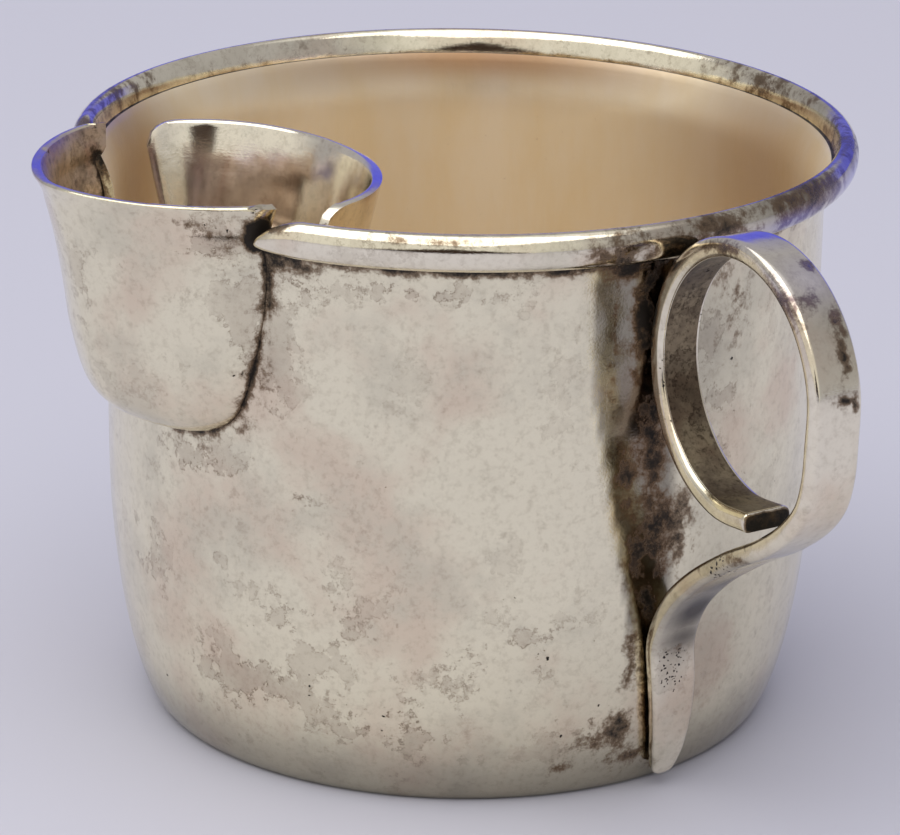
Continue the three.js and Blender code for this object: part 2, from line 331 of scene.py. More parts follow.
@dataclass(frozen=True)
class WallForm:
    """The outer form of the raised cup, from its flat base to the flared lip."""

    base_radius: float = 30.5
    curve_height: float = 25.9
    curve_power: float = 1.74
    low_radius: float = 35.8
    high_radius: float = 36.0
    flare_start: float = 52.2
    height: float = 57.6
    lip_radius: float = 37.35
    thickness: float = 1.0
    lip_thickness: float = 0.8

    def radius(self, height: float) -> float:
        """Gives the wall's outer radius at a height above the table.

        Args:
            height: Height in millimetres.

        Returns:
            The radius in millimetres.
        """
        if height < self.curve_height:
            down = (self.curve_height - max(height, 0)) / self.curve_height
            out = (1 - down**self.curve_power) ** (1 / self.curve_power)
            return lerp(self.base_radius, self.low_radius, out)
        if height < self.flare_start:
            rise = (height - self.curve_height) / (self.flare_start - self.curve_height)
            return lerp(self.low_radius, self.high_radius, rise)
        flare = min((height - self.flare_start) / (self.height - self.flare_start), 1)
        return lerp(self.high_radius, self.lip_radius, flare**2)

    def heights(self) -> list[float]:
        """Gives the heights of the wall's rows, crowded where the wall turns into the base."""
        curve_rows, side_rows, flare_rows = 40, 44, 10
        crowding = 2.1
        curve = [self.curve_height * (i / curve_rows) ** crowding for i in range(curve_rows)]
        side = [lerp(self.curve_height, self.flare_start, i / side_rows) for i in range(side_rows)]
        flare = [lerp(self.flare_start, self.height, i / flare_rows) for i in range(flare_rows + 1)]
        return curve + side + flare

    def profile(self, inset: float) -> list[tuple[float, float]]:
        """Gives the wall's profile, set inwards along its normal.

        Args:
            inset: Distance inwards from the outer face at the base; it eases to the lip's own.

        Returns:
            Radius and height of each row in millimetres, from the base up.
        """
        rows = []
        step = 0.02
        for height in self.heights():
            low, high = max(height - step, 0), min(height + step, self.height)
            slope = (self.radius(high) - self.radius(low)) / (high - low)
            length = math.hypot(1, slope)
            top = smoothstep(height, self.flare_start, self.height)
            move = inset * lerp(1, self.lip_thickness / self.thickness, top)
            if height == 0:
                rows.append((self.radius(0), move))
            elif height == self.height:
                rows.append((self.radius(height) - move, height))
            else:
                rows.append((self.radius(height) - move / length, height + move * slope / length))
        return rows


# Marks of use, painted shade and painted reflection, held in the meshes


class Mark(Protocol):
    """A mark of use, painted shade or painted reflection, with a strength at each place of a piece."""

    def at(self, place: Vector) -> float:
        """Gives the mark's strength at a place in millimetres."""


@dataclass(frozen=True)
class Spot:
    """A soft patch with its place, half sizes and strength. Sizes are millimetres."""

    place: Triple
    size: Triple
    strength: float = 1.0

    def at(self, place: Vector) -> float:
        """Gives the patch's strength at a place in millimetres."""
        away = sum(((place[k] - self.place[k]) / self.size[k]) ** 2 for k in range(3))
        return self.strength * math.exp(-away)


@dataclass(frozen=True)
class InnerSpot(Spot):
    """A soft patch that shows only on the inner face of the wall, deeper than its skin."""

    skin: float = 0.5

    def at(self, place: Vector) -> float:
        """Gives the patch's strength at a place in millimetres, or 0 on the outer face."""
        inside = math.hypot(place[0], place[1]) < WallForm().radius(place[2]) - self.skin
        return super().at(place) if inside else 0.0


@dataclass(frozen=True)
class Ledge:
    """The line of old polish and sulphide on the wall under the wire, with the painted shade that the
    wire casts there.
    """

    edge: float = 56.0
    reach: float = 0.9
    strength: float = 1.0

    def at(self, place: Vector) -> float:
        """Gives the line's strength at a place in millimetres."""
        drop = max(self.edge - place[2], 0.0)
        return self.strength * math.exp(-((drop / self.reach) ** 2))


@dataclass(frozen=True)
class FootShade:
    """The foot of the wall, painted darker as the reflection of the shadowed floor where it turns under.
    """

    low: float = 2.0
    high: float = 9.5
    strength: float = 0.5

    def at(self, place: Vector) -> float:
        """Gives the painted shade at a place in millimetres."""
        return self.strength * smoothstep(place[2], self.high, self.low)


@dataclass(frozen=True)
class HandleShade:
    """The dark strip of wall beside the handle, a painted reflection of it, with a crisp edge on the
    spout's side.
    """

    edge: tuple[tuple[float, float], ...] = (
        (57.0, -7.7),
        (42.0, -7.5),
        (32.0, -5.6),
        (20.0, -3.4),
        (14.0, -2.6),
    )
    crispness: float = 0.25
    end_fade: float = 6.0
    far_side: float = 0.5
    far_fade: float = 2.0
    strength: float = 0.72

    def at(self, place: Vector) -> float:
        """Gives the strip's strength at a place in millimetres.

        Args:
            place: A place on the body.

        Returns:
            The strength: 0 outside the strip.
        """
        foot = self.edge[-1][0]
        if place[0] < 0 or place[2] < foot:
            return 0.0
        left = self.edge[0][1]
        for (high, high_left), (low, low_left) in zip(self.edge, self.edge[1:]):
            if low <= place[2] <= high:
                left = lerp(low_left, high_left, (place[2] - low) / (high - low))
        end = smoothstep(place[2], foot, foot + self.end_fade)
        crisp = smoothstep(place[1], left - self.crispness, left + self.crispness)
        soft = smoothstep(place[1], self.far_side + self.far_fade, self.far_side)
        return self.strength * end * crisp * soft


@dataclass(frozen=True)
class WallSide:
    """Darkens the finger ring's face towards the wall: tarnish where no cloth reaches, and painted shade.
    """

    centre: tuple[float, float] = (49.9, 47.3)
    half: tuple[float, float] = (12.65, 13.0)
    starts: tuple[float, float] = (1.05, 1.07)
    ends: tuple[float, float] = (1.14, 1.11)
    wallwards: tuple[float, float] = (3.0, 9.0)
    strength: float = 0.95

    def at(self, place: Vector) -> float:
        """Gives the tarnish and painted shade at a place in millimetres.

        Args:
            place: A place on the strap.

        Returns:
            The strength: full on the ring's outer face next to the wall, and 0 elsewhere.
        """
        reach, rise = place[0] - self.centre[0], place[2] - self.centre[1]
        away = math.hypot(reach / self.half[0], rise / self.half[1])
        outer = smoothstep(away, *self.starts) * smoothstep(away, *self.ends)
        return self.strength * outer * smoothstep(-reach, *self.wallwards)


def mark_nearness(pieces: Sequence[Piece], wall: WallForm, reach: float = 0.6) -> None:
    """Stores how near each vertex lies to another piece: 1 where they touch, less further off.

    Args:
        pieces: All the cup's pieces, the body and the wire first.
        wall: The wall's form; inside it the value is kept low, because the gilding stays clean.
        reach: Distance in millimetres over which the value falls to about a third.
    """
    cut_off, skin, gilding_share = 5, 0.3, 0.25
    trees = {}
    for piece in pieces:
        places = [vertex.co for vertex in piece.data.vertices]
        faces = [tuple(face.vertices) for face in piece.data.polygons]
        trees[piece.name] = BVHTree.FromPolygons(places, faces)
    far = reach * cut_off * MM
    for piece in pieces:
        values = []
        for vertex in piece.data.vertices:
            nearest = far
            for name, tree in trees.items():
                if name == piece.name:
                    continue
                found = tree.find_nearest(vertex.co, nearest)[3]
                nearest = nearest if found is None else min(nearest, found)
            inner = math.hypot(*vertex.co.xy) / MM < wall.radius(vertex.co.z / MM) - skin
            kept = gilding_share if inner and piece in pieces[:2] else 1.0
            values.append(math.exp(-nearest / (reach * MM)) * kept)
        layer = piece.data.attributes.new(NEARNESS, "FLOAT", "POINT")
        layer.data.foreach_set("value", values)


def paint(piece: Piece, layer: Layer, marks: Sequence[Mark]) -> None:
    """Stores marks of use, painted shade and painted reflection on a piece's vertices.

    Args:
        piece: A mesh object.
        layer: The kind of mark.
        marks: The marks; where several meet, the strongest holds.
    """
    places = [vertex.co / MM for vertex in piece.data.vertices]
    values = [max((mark.at(place) for mark in marks), default=0.0) for place in places]
    held = piece.data.attributes.new(layer.value, "FLOAT", "POINT")
    held.data.foreach_set("value", values)


Marks = dict[Layer, tuple[Mark, ...]]
BODY_MARKS: Marks = {
    Layer.TARNISH_AND_SHADE: (
        # The first eight spots darken the wall behind and beside the finger ring: partly tarnish, partly
        # painted shade of the gap and painted reflection of the handle.
        Spot((36.0, -2.4, 50.0), (4, 1.9, 8), 0.95),
        Spot((36.0, -5.7, 49.0), (4, 0.5, 8), 0.6),
        Spot((36.0, -4.2, 34.0), (4, 1.5, 4.5), 0.8),
        Spot((36.0, -2.6, 26.5), (4, 1.6, 4.0), 0.95),
        Spot((35.8, 1.4, 28.5), (4, 3.0, 4.6), 0.78),
        Spot((36.0, -1.4, 38.0), (4, 2.3, 9), 0.85),
        Spot((36.0, -0.4, 28.0), (4, 2.8, 6), 0.85),
        Spot((35.7, -1.3, 21.5), (4, 1.8, 4), 0.85),
        Spot((34.9, -2.6, 15.0), (4, 1.1, 5), 0.6),
        Spot((33.8, -2.9, 7.6), (5, 1.7, 2.4), 0.95),
        Spot((33.2, -5.0, 6.2), (5, 3.0, 1.6), 0.62),
        Spot((32.8, -1.0, 3.8), (5, 3.0, 1.5), 0.7),
        Spot((32.0, -8.2, 3.6), (4, 1.6, 0.9), 0.5),
        Ledge(),
        Spot((36.2, -4.5, 55.0), (4, 3.2, 1.5), 1.0),
        Spot((34.4, -11.5, 55.6), (4, 4.0, 0.8), 0.5),
        Spot((26.9, -24.2, 55.4), (6, 6.0, 0.7), 0.45),
        Spot((19.5, -30.5, 55.0), (3, 3.0, 1.2), 0.7),
        # Partly tarnish and partly painted shade: the recess where the spout's lip end meets the wire's
        # nose.
        Spot((17.3, -31.8, 55.0), (1.5, 1.5, 1.0), 1.1),
        Spot((16.3, -32.3, 52.0), (0.65, 0.85, 4.5), 1.15),
        Spot((15.4, -32.5, 43.0), (1.3, 1.4, 3.0), 0.5),
        Spot((13.1, -33.4, 38.0), (2.0, 2.0, 1.8), 0.45),
        Spot((5.0, -35.6, 34.4), (5.0, 2.0, 0.9), 0.35),
        Spot((35.0, 8.2, 50.0), (4, 3.2, 6.0), 0.42),
    ),
    Layer.WEAR: (
        Spot((13.0, -32.0, 11.0), (9, 9, 5), 0.9),
        Spot((24.5, -24.0, 9.5), (7, 7, 4), 0.95),
        Spot((30.0, -18.0, 15.0), (6, 6, 4), 0.6),
        Spot((33.0, -12.0, 17.5), (4, 4, 2.5), 0.9),
        Spot((34.5, -4.5, 8.5), (5, 5, 5), 0.95),
        Spot((20.0, -28.0, 19.0), (8, 8, 5), 0.6),
        Spot((16.5, -32.0, 45.0), (2.5, 3, 8), 0.9),
        Spot((8.0, -35.0, 33.0), (8, 3, 2.5), 0.85),
        Spot((16.0, -32.0, 29.6), (2, 2, 2), 1.0),
        Spot((19.1, -30.3, 32.0), (1.6, 2, 2), 0.9),
        Spot((8.9, -34.6, 23.3), (2, 2, 1.6), 0.8),
        Spot((-2.0, -35.0, 20.0), (6, 4, 8), 0.5),
        Spot((28.0, -22.6, 53.5), (8, 8, 1.6), 0.8),
        Spot((19.2, -30.4, 52.8), (3, 3, 2.0), 0.8),
        Spot((35.4, 6.5, 40.0), (4, 6, 14), 0.6),
    ),
    Layer.PAINTED_SHADE: (
        FootShade(),
        HandleShade(),
        # Painted shade: the wall right of the handle darker, as the reflection of the floor in the cup's
        # shadow.
        Spot((35.0, 7.0, 18.0), (4, 6, 11), 0.3),
        Spot((36.0, 4.5, 46.0), (3, 6, 11), 0.38),
        # Painted shade on the gilt inside: its left and right sides and the top of its far side darker.
        InnerSpot((-26.0, -23.5, 51.0), (9, 12, 16), 0.74),
        InnerSpot((3.0, 34.5, 50.0), (16, 8, 16), 0.7),
        InnerSpot((-28.0, 20.0, 57.0), (22, 26, 3.2), 0.92),
    ),
}
WIRE_MARKS: Marks = {
    Layer.TARNISH_AND_SHADE: (
        Spot((19.8, -33.6, 59.4), (1.7, 1.7, 0.9), 0.85),
        Spot((30.5, -22.5, 59.4), (9, 9, 0.45), 0.42),
        Spot((-30.0, -24.0, 59.4), (10, 9, 3), 0.5),
        Spot((-21.0, -32.5, 59.0), (4, 4, 3), 0.6),
        Spot((2.0, 37.5, 58.6), (13, 6, 3), 0.5),
        Spot((22.0, 31.0, 58.6), (12, 8, 3), 0.66),
        Spot((35.0, 17.0, 58.6), (6, 10, 3), 0.74),
        Spot((38.5, 3.0, 58.5), (3, 5, 3), 0.72),
        Spot((38.4, -6.5, 57.6), (3, 4.5, 2.5), 0.72),
    ),
    Layer.WEAR: (Spot((33.0, -18.0, 59.5), (8, 14, 1), 0.7),),
    Layer.BLUE_REFLECTION: (
        Spot((-23.0, -31.4, 57.8), (8, 6, 1.4), 0.45),
        Spot((27.0, 28.6, 57.6), (8, 9, 1.6), 0.62),
        Spot((36.6, 14.5, 57.2), (5, 7, 0.9), 0.3),
    ),
    Layer.PAINTED_SHADE: (
        # Painted shade: the wire darker along its right side.
        Spot((12.0, 36.5, 59.4), (11, 5, 2.4), 0.4),
        Spot((26.0, 28.0, 59.4), (8, 8, 2.4), 0.5),
        Spot((35.5, 15.0, 59.2), (6, 11, 2.4), 0.66),
        Spot((38.6, 1.0, 58.8), (3, 6, 2.4), 0.45),
    ),
}
SPOUT_MARKS: Marks = {
    Layer.TARNISH_AND_SHADE: (
        # Partly tarnish and partly painted shade: the recess where the lip's end meets the wire's nose.
        Spot((16.9, -33.7, 57.6), (0.9, 1.4, 1.45), 3.4),
        Spot((16.4, -32.5, 52.5), (0.5, 0.7, 4.0), 1.1),
        Spot((12.8, -39.6, 59.0), (2.6, 2.6, 0.7), 0.6),
        Spot((15.2, -37.0, 57.0), (1.8, 2.4, 2.4), 0.5),
        Spot((16.2, -32.6, 48.0), (1.2, 1.0, 8.0), 0.5),
    ),
    Layer.WEAR: (
        Spot((14.0, -37.5, 57.0), (4, 4, 3), 0.9),
        Spot((15.5, -34.5, 48.0), (3, 3, 8), 0.7),
        Spot((2.0, -44.0, 50.0), (6, 6, 8), 0.35),
    ),
    Layer.BLUE_REFLECTION: (
        Spot((-7.0, -45.4, 60.6), (6, 4, 0.8), 0.45),
        Spot((-13.0, -39.5, 60.6), (4, 3, 0.9), 0.3),
    ),
}
GUARD_MARKS: Marks = {
    Layer.BLUE_REFLECTION: (Spot((11.5, -16.6, 59.7), (6, 5, 0.5), 0.5),),
}
STRAP_MARKS: Marks = {
    Layer.TARNISH_AND_SHADE: (
        WallSide(),
        Spot((60.6, 1.4, 56.0), (1.2, 0.8, 1.7), 0.8),
        Spot((61.6, 1.0, 54.2), (1.0, 0.6, 1.1), 0.8),
        Spot((59.0, -0.6, 57.6), (1.3, 1.6, 0.9), 0.62),
        Spot((55.6, 1.6, 59.8), (1.2, 0.9, 0.6), 0.75),
        Spot((63.3, 0.6, 49.3), (1.0, 0.9, 0.35), 1.0),
        Spot((63.3, 1.8, 48.9), (1.0, 0.35, 1.1), 1.0),
        Spot((63.0, -0.5, 49.6), (1.0, 2.0, 1.2), 0.42),
        Spot((62.2, 1.0, 52.8), (1.0, 0.8, 1.6), 0.9),
        Spot((53.05, 0.0, 34.8), (0.25, 5.0, 3.0), 1.4),
        Spot((47.5, -2.7, 60.0), (6.0, 0.7, 1.3), 0.62),
        Spot((57.5, -2.6, 57.0), (3.0, 0.7, 3.0), 0.55),
        Spot((51.5, -2.6, 30.6), (3.0, 0.8, 0.8), 0.55),
        Spot((43.5, -2.4, 28.0), (3.0, 0.8, 0.8), 0.4),
        Spot((38.2, 0.6, 15.8), (1.2, 1.6, 0.7), 0.66),
    ),
    Layer.WEAR: (
        Spot((37.2, 0.9, 14.1), (2, 1.9, 2.6), 2.9),
        Spot((59.0, 0.0, 57.0), (5, 4, 3), 0.8),
        Spot((48.0, -2.5, 28.8), (6, 2, 2), 1.2),
        Spot((40.0, 0.0, 47.0), (6, 4, 16), 1.0),
    ),
    Layer.BLUE_REFLECTION: (
        Spot((49.0, 1.0, 61.4), (4.5, 3.5, 0.9), 0.4),
        Spot((56.5, 1.5, 59.0), (4.0, 4.0, 3.0), 0.22),
    ),
    Layer.PAINTED_SHADE: (
        # Painted shade on the strap: darker on the upper part of the tail and in a few places on the
        # ring.
        Spot((44.5, 1.2, 25.4), (5.0, 2.9, 2.5), 0.75),
        Spot((40.5, 1.2, 21.5), (4.5, 2.9, 4.2), 1.1),
        Spot((37.8, 1.6, 17.6), (2.2, 2.7, 2.2), 0.85),
        Spot((49.0, -2.6, 29.5), (6.0, 0.8, 2.5), 0.25),
        Spot((61.0, 1.0, 55.0), (3.0, 4.0, 3.5), 0.2),
    ),
}


# Finishes


def add_node(
    tree: Tree, kind: str, links: dict | None = None, out: int | str = 0, **settings: str | bool
) -> Socket | None:
    """Adds a node with its settings, values and links.

    Args:
        tree: The material's node tree.
        kind: The node's type name, without the ShaderNode that it starts with.
        links: For each input, the output socket that feeds it or the value that it holds.
        out: Which of its outputs is wanted.
        **settings: The node's own settings.

    Returns:
        The wanted output, or None where the node has none.
    """
    node = tree.nodes.new("ShaderNode" + kind)
    for name, value in settings.items():
        setattr(node, name, value)
    for name, source in (links or {}).items():
        if isinstance(source, Socket):
            tree.links.new(source, node.inputs[name])
        else:
            node.inputs[name].default_value = source
    return node.outputs[out] if node.outputs else None


def start_material(name: str) -> bpy.types.Material:
    """Makes a material with an empty node tree."""
    material = bpy.data.materials.new(name)
    material.use_nodes = True
    material.node_tree.nodes.clear()
    return material


@dataclass(frozen=True)
class Silver:
    """Sterling silver, hand finished and worn satin by years of polishing and use.

    The metal is bright and a little warm. Thin tarnish lies over it in soft pinkish and greyish patches,
    old stains leave ragged outlines, and pits and corners that no cloth reaches hold black sulphide.
    Painted shade dims it in places, and a painted blue reflection tints some edges. Sizes and depths are
    millimetres.
    """

    name: str = "sterling_silver_worn_satin"
    bright: str = "#F3EBCF"
    pink_cast: str = "#E3CFB6"
    grey_cast: str = "#DAD3BB"
    stain: str = "#B3A48F"
    brown: str = "#6B5138"
    veil: str = "#5A5450"
    black: str = "#1A1612"
    violet: str = "#6A70F0"
    patch_size: float = 15.0
    stain_size: float = 6.5
    speckle_size: float = 0.8
    grain_size: float = 0.3
    fray_size: float = 1.9
    wipe_size: float = 5.0
    hammer_size: float = 6.0
    pit_spacing: float = 1.1
    pit_jitter: float = 0.6
    pit_jitter_size: float = 0.5
    pit_cluster: float = 5.0
    scratch_width: float = 0.28
    scratch_run: Triple = (1.0, 0.12, 1.0)
    hammer_depth: float = 0.22
    scratch_depth: float = 0.008
    grain_depth: float = 0.012
    pit_depth: float = 0.03
    roughness: float = 0.13
    pink_amount: float = 0.75
    stain_amount: float = 0.8
    stain_on_wear: float = 0.72
    stain_crowding: float = 0.1
    outline_level: float = 0.585
    pit_amount: float = 0.6
    pit_crowding: float = 0.16
    dust_amount: float = 0.2
    black_dulling: float = 0.35
    outline_dulling: float = 0.15
    relief: float = 1.0

    def build(self) -> bpy.types.Material:
        """Makes the material from its patches, stains, pits, crevices and relief.

        Returns:
            The finished material.
        """
        material = start_material(self.name)
        tree = material.node_tree
        at = add_node(tree, "TexCoord", out="Object")
        wear = add_node(tree, "Attribute", out="Fac", attribute_name=Layer.WEAR.value)
        pits = self.pits(tree, at, wear)
        stained, outline = self.stains(tree, at, wear, self.cast(tree, at))
        soiled, dirt = self.crevices(tree, at, stained, pits)
        # Painted reflection: a blue tint laid on edges that reflect the blue light low behind the cup.
        painted_blue = add_node(tree, "Attribute", out="Fac", attribute_name=Layer.BLUE_REFLECTION.value)
        painted_blue_mix = {MIX_FACTOR: painted_blue, MIX_A: soiled, MIX_B: linear(self.violet)}
        shader = add_node(
            tree,
            "BsdfPrincipled",
            {
                "Base Color": add_node(tree, "Mix", painted_blue_mix, **COLOURS),
                "Metallic": self.metal(tree, dirt),
                "Roughness": self.sheen(tree, at, outline, dirt),
                "Normal": self.surface(tree, at, pits, dirt),
            },
        )
        add_node(tree, "OutputMaterial", {"Surface": shader})
        return material

    def cast(self, tree: Tree, at: Socket) -> Socket:
        """Lays soft pinkish and greyish patches of thin tarnish over the bright metal.

        Args:
            tree: The material's node tree.
            at: The surface's place.

        Returns:
            The colour so far.
        """
        broad = {"Vector": at, "Scale": per(self.patch_size), "Detail": 5.0, "Roughness": 0.55}
        patches = add_node(tree, "TexNoise", broad)
        blush = {"Value": patches, "From Min": 0.48, "From Max": 0.66, "To Max": self.pink_amount}
        pink = add_node(tree, "MapRange", blush, **SMOOTH)
        warm = {MIX_FACTOR: pink, MIX_A: linear(self.bright), MIX_B: linear(self.pink_cast)}
        warmed = add_node(tree, "Mix", warm, **COLOURS)
        shifted = add_node(tree, "Mapping", {"Vector": at, "Location": (0.3, 0.1, 0.2)})
        finer = {"Vector": shifted, "Scale": per(self.patch_size * 0.6), "Detail": 6.0, "Roughness": 0.65}
        clouds = add_node(tree, "TexNoise", finer)
        haze = {"Value": clouds, "From Min": 0.46, "From Max": 0.7, "To Max": 0.7}
        grey = add_node(tree, "MapRange", haze, **SMOOTH)
        greyed = {MIX_FACTOR: grey, MIX_A: warmed, MIX_B: linear(self.grey_cast)}
        return add_node(tree, "Mix", greyed, **COLOURS)

    def pits(self, tree: Tree, at: Socket, wear: Socket) -> Socket:
        """Scatters small pits, in clusters, most of them where the wear is.

        Args:
            tree: The material's node tree.
            at: The surface's place.
            wear: A value that is 1 where the surface is most worn.

        Returns:
            A value that is 1 in a pit and 0 elsewhere.
        """
        uneven = {"Vector": at, "Scale": per(self.pit_jitter_size), "Detail": 2.0}
        jitter = add_node(tree, "TexNoise", uneven, out="Color")
        moved = {0: jitter, 1: (self.pit_jitter * MM,) * 3, 2: at}
        bent = add_node(tree, "VectorMath", moved, operation="MULTIPLY_ADD")
        cells = add_node(tree, "TexVoronoi", {"Vector": bent, "Scale": per(self.pit_spacing)})
        clusters = {"Vector": at, "Scale": per(self.pit_cluster), "Detail": 3.0, "Roughness": 0.6}
        cluster = add_node(tree, "TexNoise", clusters)
        crowded = {0: wear, 1: self.pit_crowding, 2: cluster}
        crowd = add_node(tree, "Math", crowded, operation="MULTIPLY_ADD")
        spread = {"Value": crowd, "From Min": 0.6, "From Max": 0.8, "To Max": 0.42 * self.pit_amount}
        size = add_node(tree, "MapRange", spread, **SMOOTH)
        depth = add_node(tree, "Math", {0: size, 1: cells}, operation="SUBTRACT")
        return add_node(tree, "MapRange", {"Value": depth, "From Max": 0.08}, **SMOOTH)

    def stains(self, tree: Tree, at: Socket, wear: Socket, colour: Socket) -> tuple[Socket, Socket]:
        """Adds old stains with ragged dark outlines, and the fine speckle that a polishing cloth leaves.

        Args:
            tree: The material's node tree.
            at: The surface's place.
            wear: A value that is 1 where the surface is most worn.
            colour: The colour so far.

        Returns:
            The new colour, and a value that is 1 on a stain's outline.
        """
        islands = {"Vector": at, "Scale": per(self.stain_size), "Detail": 11.0, "Roughness": 0.69}
        field = add_node(tree, "TexNoise", islands)
        lifted = {0: wear, 1: self.stain_crowding, 2: field}
        raised = add_node(tree, "Math", lifted, operation="MULTIPLY_ADD")
        on_wear, all_over = self.stain_on_wear, 1 - self.stain_on_wear
        share = {0: wear, 1: on_wear * self.stain_amount, 2: all_over * self.stain_amount}
        amount = add_node(tree, "Math", share, operation="MULTIPLY_ADD")
        inside = {"Value": raised, "From Min": 0.575, "From Max": 0.605, "To Max": 0.6}
        island = add_node(tree, "MapRange", inside, **SMOOTH)
        fill = add_node(tree, "Math", {0: island, 1: amount}, operation="MULTIPLY")
        filled = {MIX_FACTOR: fill, MIX_A: colour, MIX_B: linear(self.stain)}
        tinted = add_node(tree, "Mix", filled, **COLOURS)
        level = add_node(tree, "Math", {0: raised, 1: self.outline_level}, operation="SUBTRACT")
        off = add_node(tree, "Math", {0: level}, operation="ABSOLUTE")
        band = {"Value": off, "From Min": 0.018, "From Max": 0.0, "To Max": 1.2}
        edge = add_node(tree, "MapRange", band, **SMOOTH)
        fine = {"Vector": at, "Scale": per(self.speckle_size), "Detail": 5.0, "Roughness": 0.7}
        specks = add_node(tree, "TexNoise", fine)
        gaps = {"Value": specks, "From Min": 0.4, "From Max": 0.56}
        breaks = add_node(tree, "MapRange", gaps, **SMOOTH)
        broken = add_node(tree, "Math", {0: edge, 1: breaks}, operation="MULTIPLY")
        drawn = {0: broken, 1: amount}
        outline = add_node(tree, "Math", drawn, operation="MULTIPLY", use_clamp=True)
        dusting = {"Value": specks, "From Min": 0.45, "From Max": 0.72, "To Max": self.dust_amount}
        dust = add_node(tree, "MapRange", dusting, **SMOOTH)
        both = add_node(tree, "Math", {0: outline, 1: dust}, operation="MAXIMUM")
        marked = {MIX_FACTOR: both, MIX_A: tinted, MIX_B: linear(self.brown)}
        return add_node(tree, "Mix", marked, **COLOURS), outline

    def crevices(self, tree: Tree, at: Socket, colour: Socket, pits: Socket) -> tuple[Socket, Socket]:
        """Lays on the painted shade, then darkens pits, painted tarnish and shade, and the corners where
        another piece lies close.

        Args:
            tree: The material's node tree.
            at: The surface's place.
            colour: The colour so far.
            pits: A value that is 1 in a pit.

        Returns:
            The new colour, and a value that is 1 where the metal is black.
        """
        # Painted shade: haze reads the painted shade attribute and dims the colour evenly towards dark
        # grey.
        haze = add_node(tree, "Attribute", out="Fac", attribute_name=Layer.PAINTED_SHADE.value)
        painted_shade_mix = {MIX_FACTOR: haze, MIX_A: colour, MIX_B: linear(self.veil)}
        dimmed = add_node(tree, "Mix", painted_shade_mix, **COLOURS)
        near = add_node(tree, "Attribute", out="Fac", attribute_name=NEARNESS)
        painted = add_node(tree, "Attribute", out="Fac", attribute_name=Layer.TARNISH_AND_SHADE.value)
        total = add_node(tree, "Math", {0: near, 1: painted}, operation="MAXIMUM")
        frayed = {"Vector": at, "Scale": per(self.fray_size), "Detail": 9.0, "Roughness": 0.74}
        fray = add_node(tree, "TexNoise", frayed)
        swing = {"Value": fray, "From Min": 0.3, "From Max": 0.7, "To Min": -0.36, "To Max": 0.36}
        ragged = add_node(tree, "MapRange", swing, **SMOOTH)
        mixed = add_node(tree, "Math", {0: total, 1: ragged}, operation="ADD")
        fringe = {"Value": mixed, "From Min": 0.22, "From Max": 0.66, "To Max": 0.85}
        edge = add_node(tree, "MapRange", fringe, **SMOOTH)
        brown = {MIX_FACTOR: edge, MIX_A: dimmed, MIX_B: linear(self.brown)}
        browned = add_node(tree, "Mix", brown, **COLOURS)
        deep = {"Value": mixed, "From Min": 0.56, "From Max": 1.05, "To Max": 0.96}
        core = add_node(tree, "MapRange", deep, **SMOOTH)
        dirt = add_node(tree, "Math", {0: core, 1: pits}, operation="MAXIMUM")
        black = {MIX_FACTOR: dirt, MIX_A: browned, MIX_B: linear(self.black)}
        return add_node(tree, "Mix", black, **COLOURS), dirt

    def metal(self, tree: Tree, dirt: Socket) -> Socket:
        """Makes the black sulphide less metallic than the silver."""
        return add_node(tree, "MapRange", {"Value": dirt, "To Min": 1.0, "To Max": 0.55})

    def sheen(self, tree: Tree, at: Socket, outline: Socket, dirt: Socket) -> Socket:
        """Varies the roughness: smoother where cloths have rubbed, rougher on stains and in pits.

        Args:
            tree: The material's node tree.
            at: The surface's place.
            outline: A value that is 1 on a stain's outline.
            dirt: A value that is 1 where the metal is black.

        Returns:
            The roughness value.
        """
        wiped = {"Vector": at, "Scale": per(self.wipe_size), "Detail": 7.0, "Roughness": 0.7}
        rubbed = add_node(tree, "TexNoise", wiped)
        low, high = self.roughness * 0.75, self.roughness * 1.3
        spread = {"Value": rubbed, "From Min": 0.3, "From Max": 0.7, "To Min": low, "To Max": high}
        rough = add_node(tree, "MapRange", spread, **SMOOTH)
        for spoilt, dulling in ((dirt, self.black_dulling), (outline, self.outline_dulling)):
            dulled = {0: spoilt, 1: dulling, 2: rough}
            rough = add_node(tree, "Math", dulled, operation="MULTIPLY_ADD")
        return rough

    def surface(self, tree: Tree, at: Socket, pits: Socket, dirt: Socket) -> Socket:
        """Gives the surface its relief: planishing, fine scratches from cleaning, grain and pits.

        Args:
            tree: The material's node tree.
            at: The surface's place.
            pits: A value that is 1 in a pit.
            dirt: A value that is 1 where the metal is black.

        Returns:
            The bumped normal.
        """
        turned = {"Vector": at, "Rotation": (0.0, 0.0, 0.5), "Scale": self.scratch_run}
        stretched = add_node(tree, "Mapping", turned)
        hammer = {"Vector": at, "Scale": per(self.hammer_size), "Detail": 2.0, "Roughness": 0.5}
        scratch = {"Vector": stretched, "Scale": per(self.scratch_width), "Detail": 4.0, "Roughness": 0.8}
        grain = {"Vector": at, "Scale": per(self.grain_size), "Detail": 3.0, "Roughness": 0.6}
        holes = add_node(tree, "Math", {0: pits, 1: dirt}, operation="MAXIMUM")
        layers = (
            (add_node(tree, "TexNoise", hammer), self.hammer_depth, False),
            (add_node(tree, "TexNoise", scratch), self.scratch_depth, False),
            (add_node(tree, "TexNoise", grain), self.grain_depth, False),
            (holes, self.pit_depth, True),
        )
        below = {}
        for height, depth, sunk in layers:
            inputs = {"Height": height, "Strength": 1.0, "Distance": depth * MM * self.relief, **below}
            below = {"Normal": add_node(tree, "Bump", inputs, invert=sunk)}
        return below["Normal"]


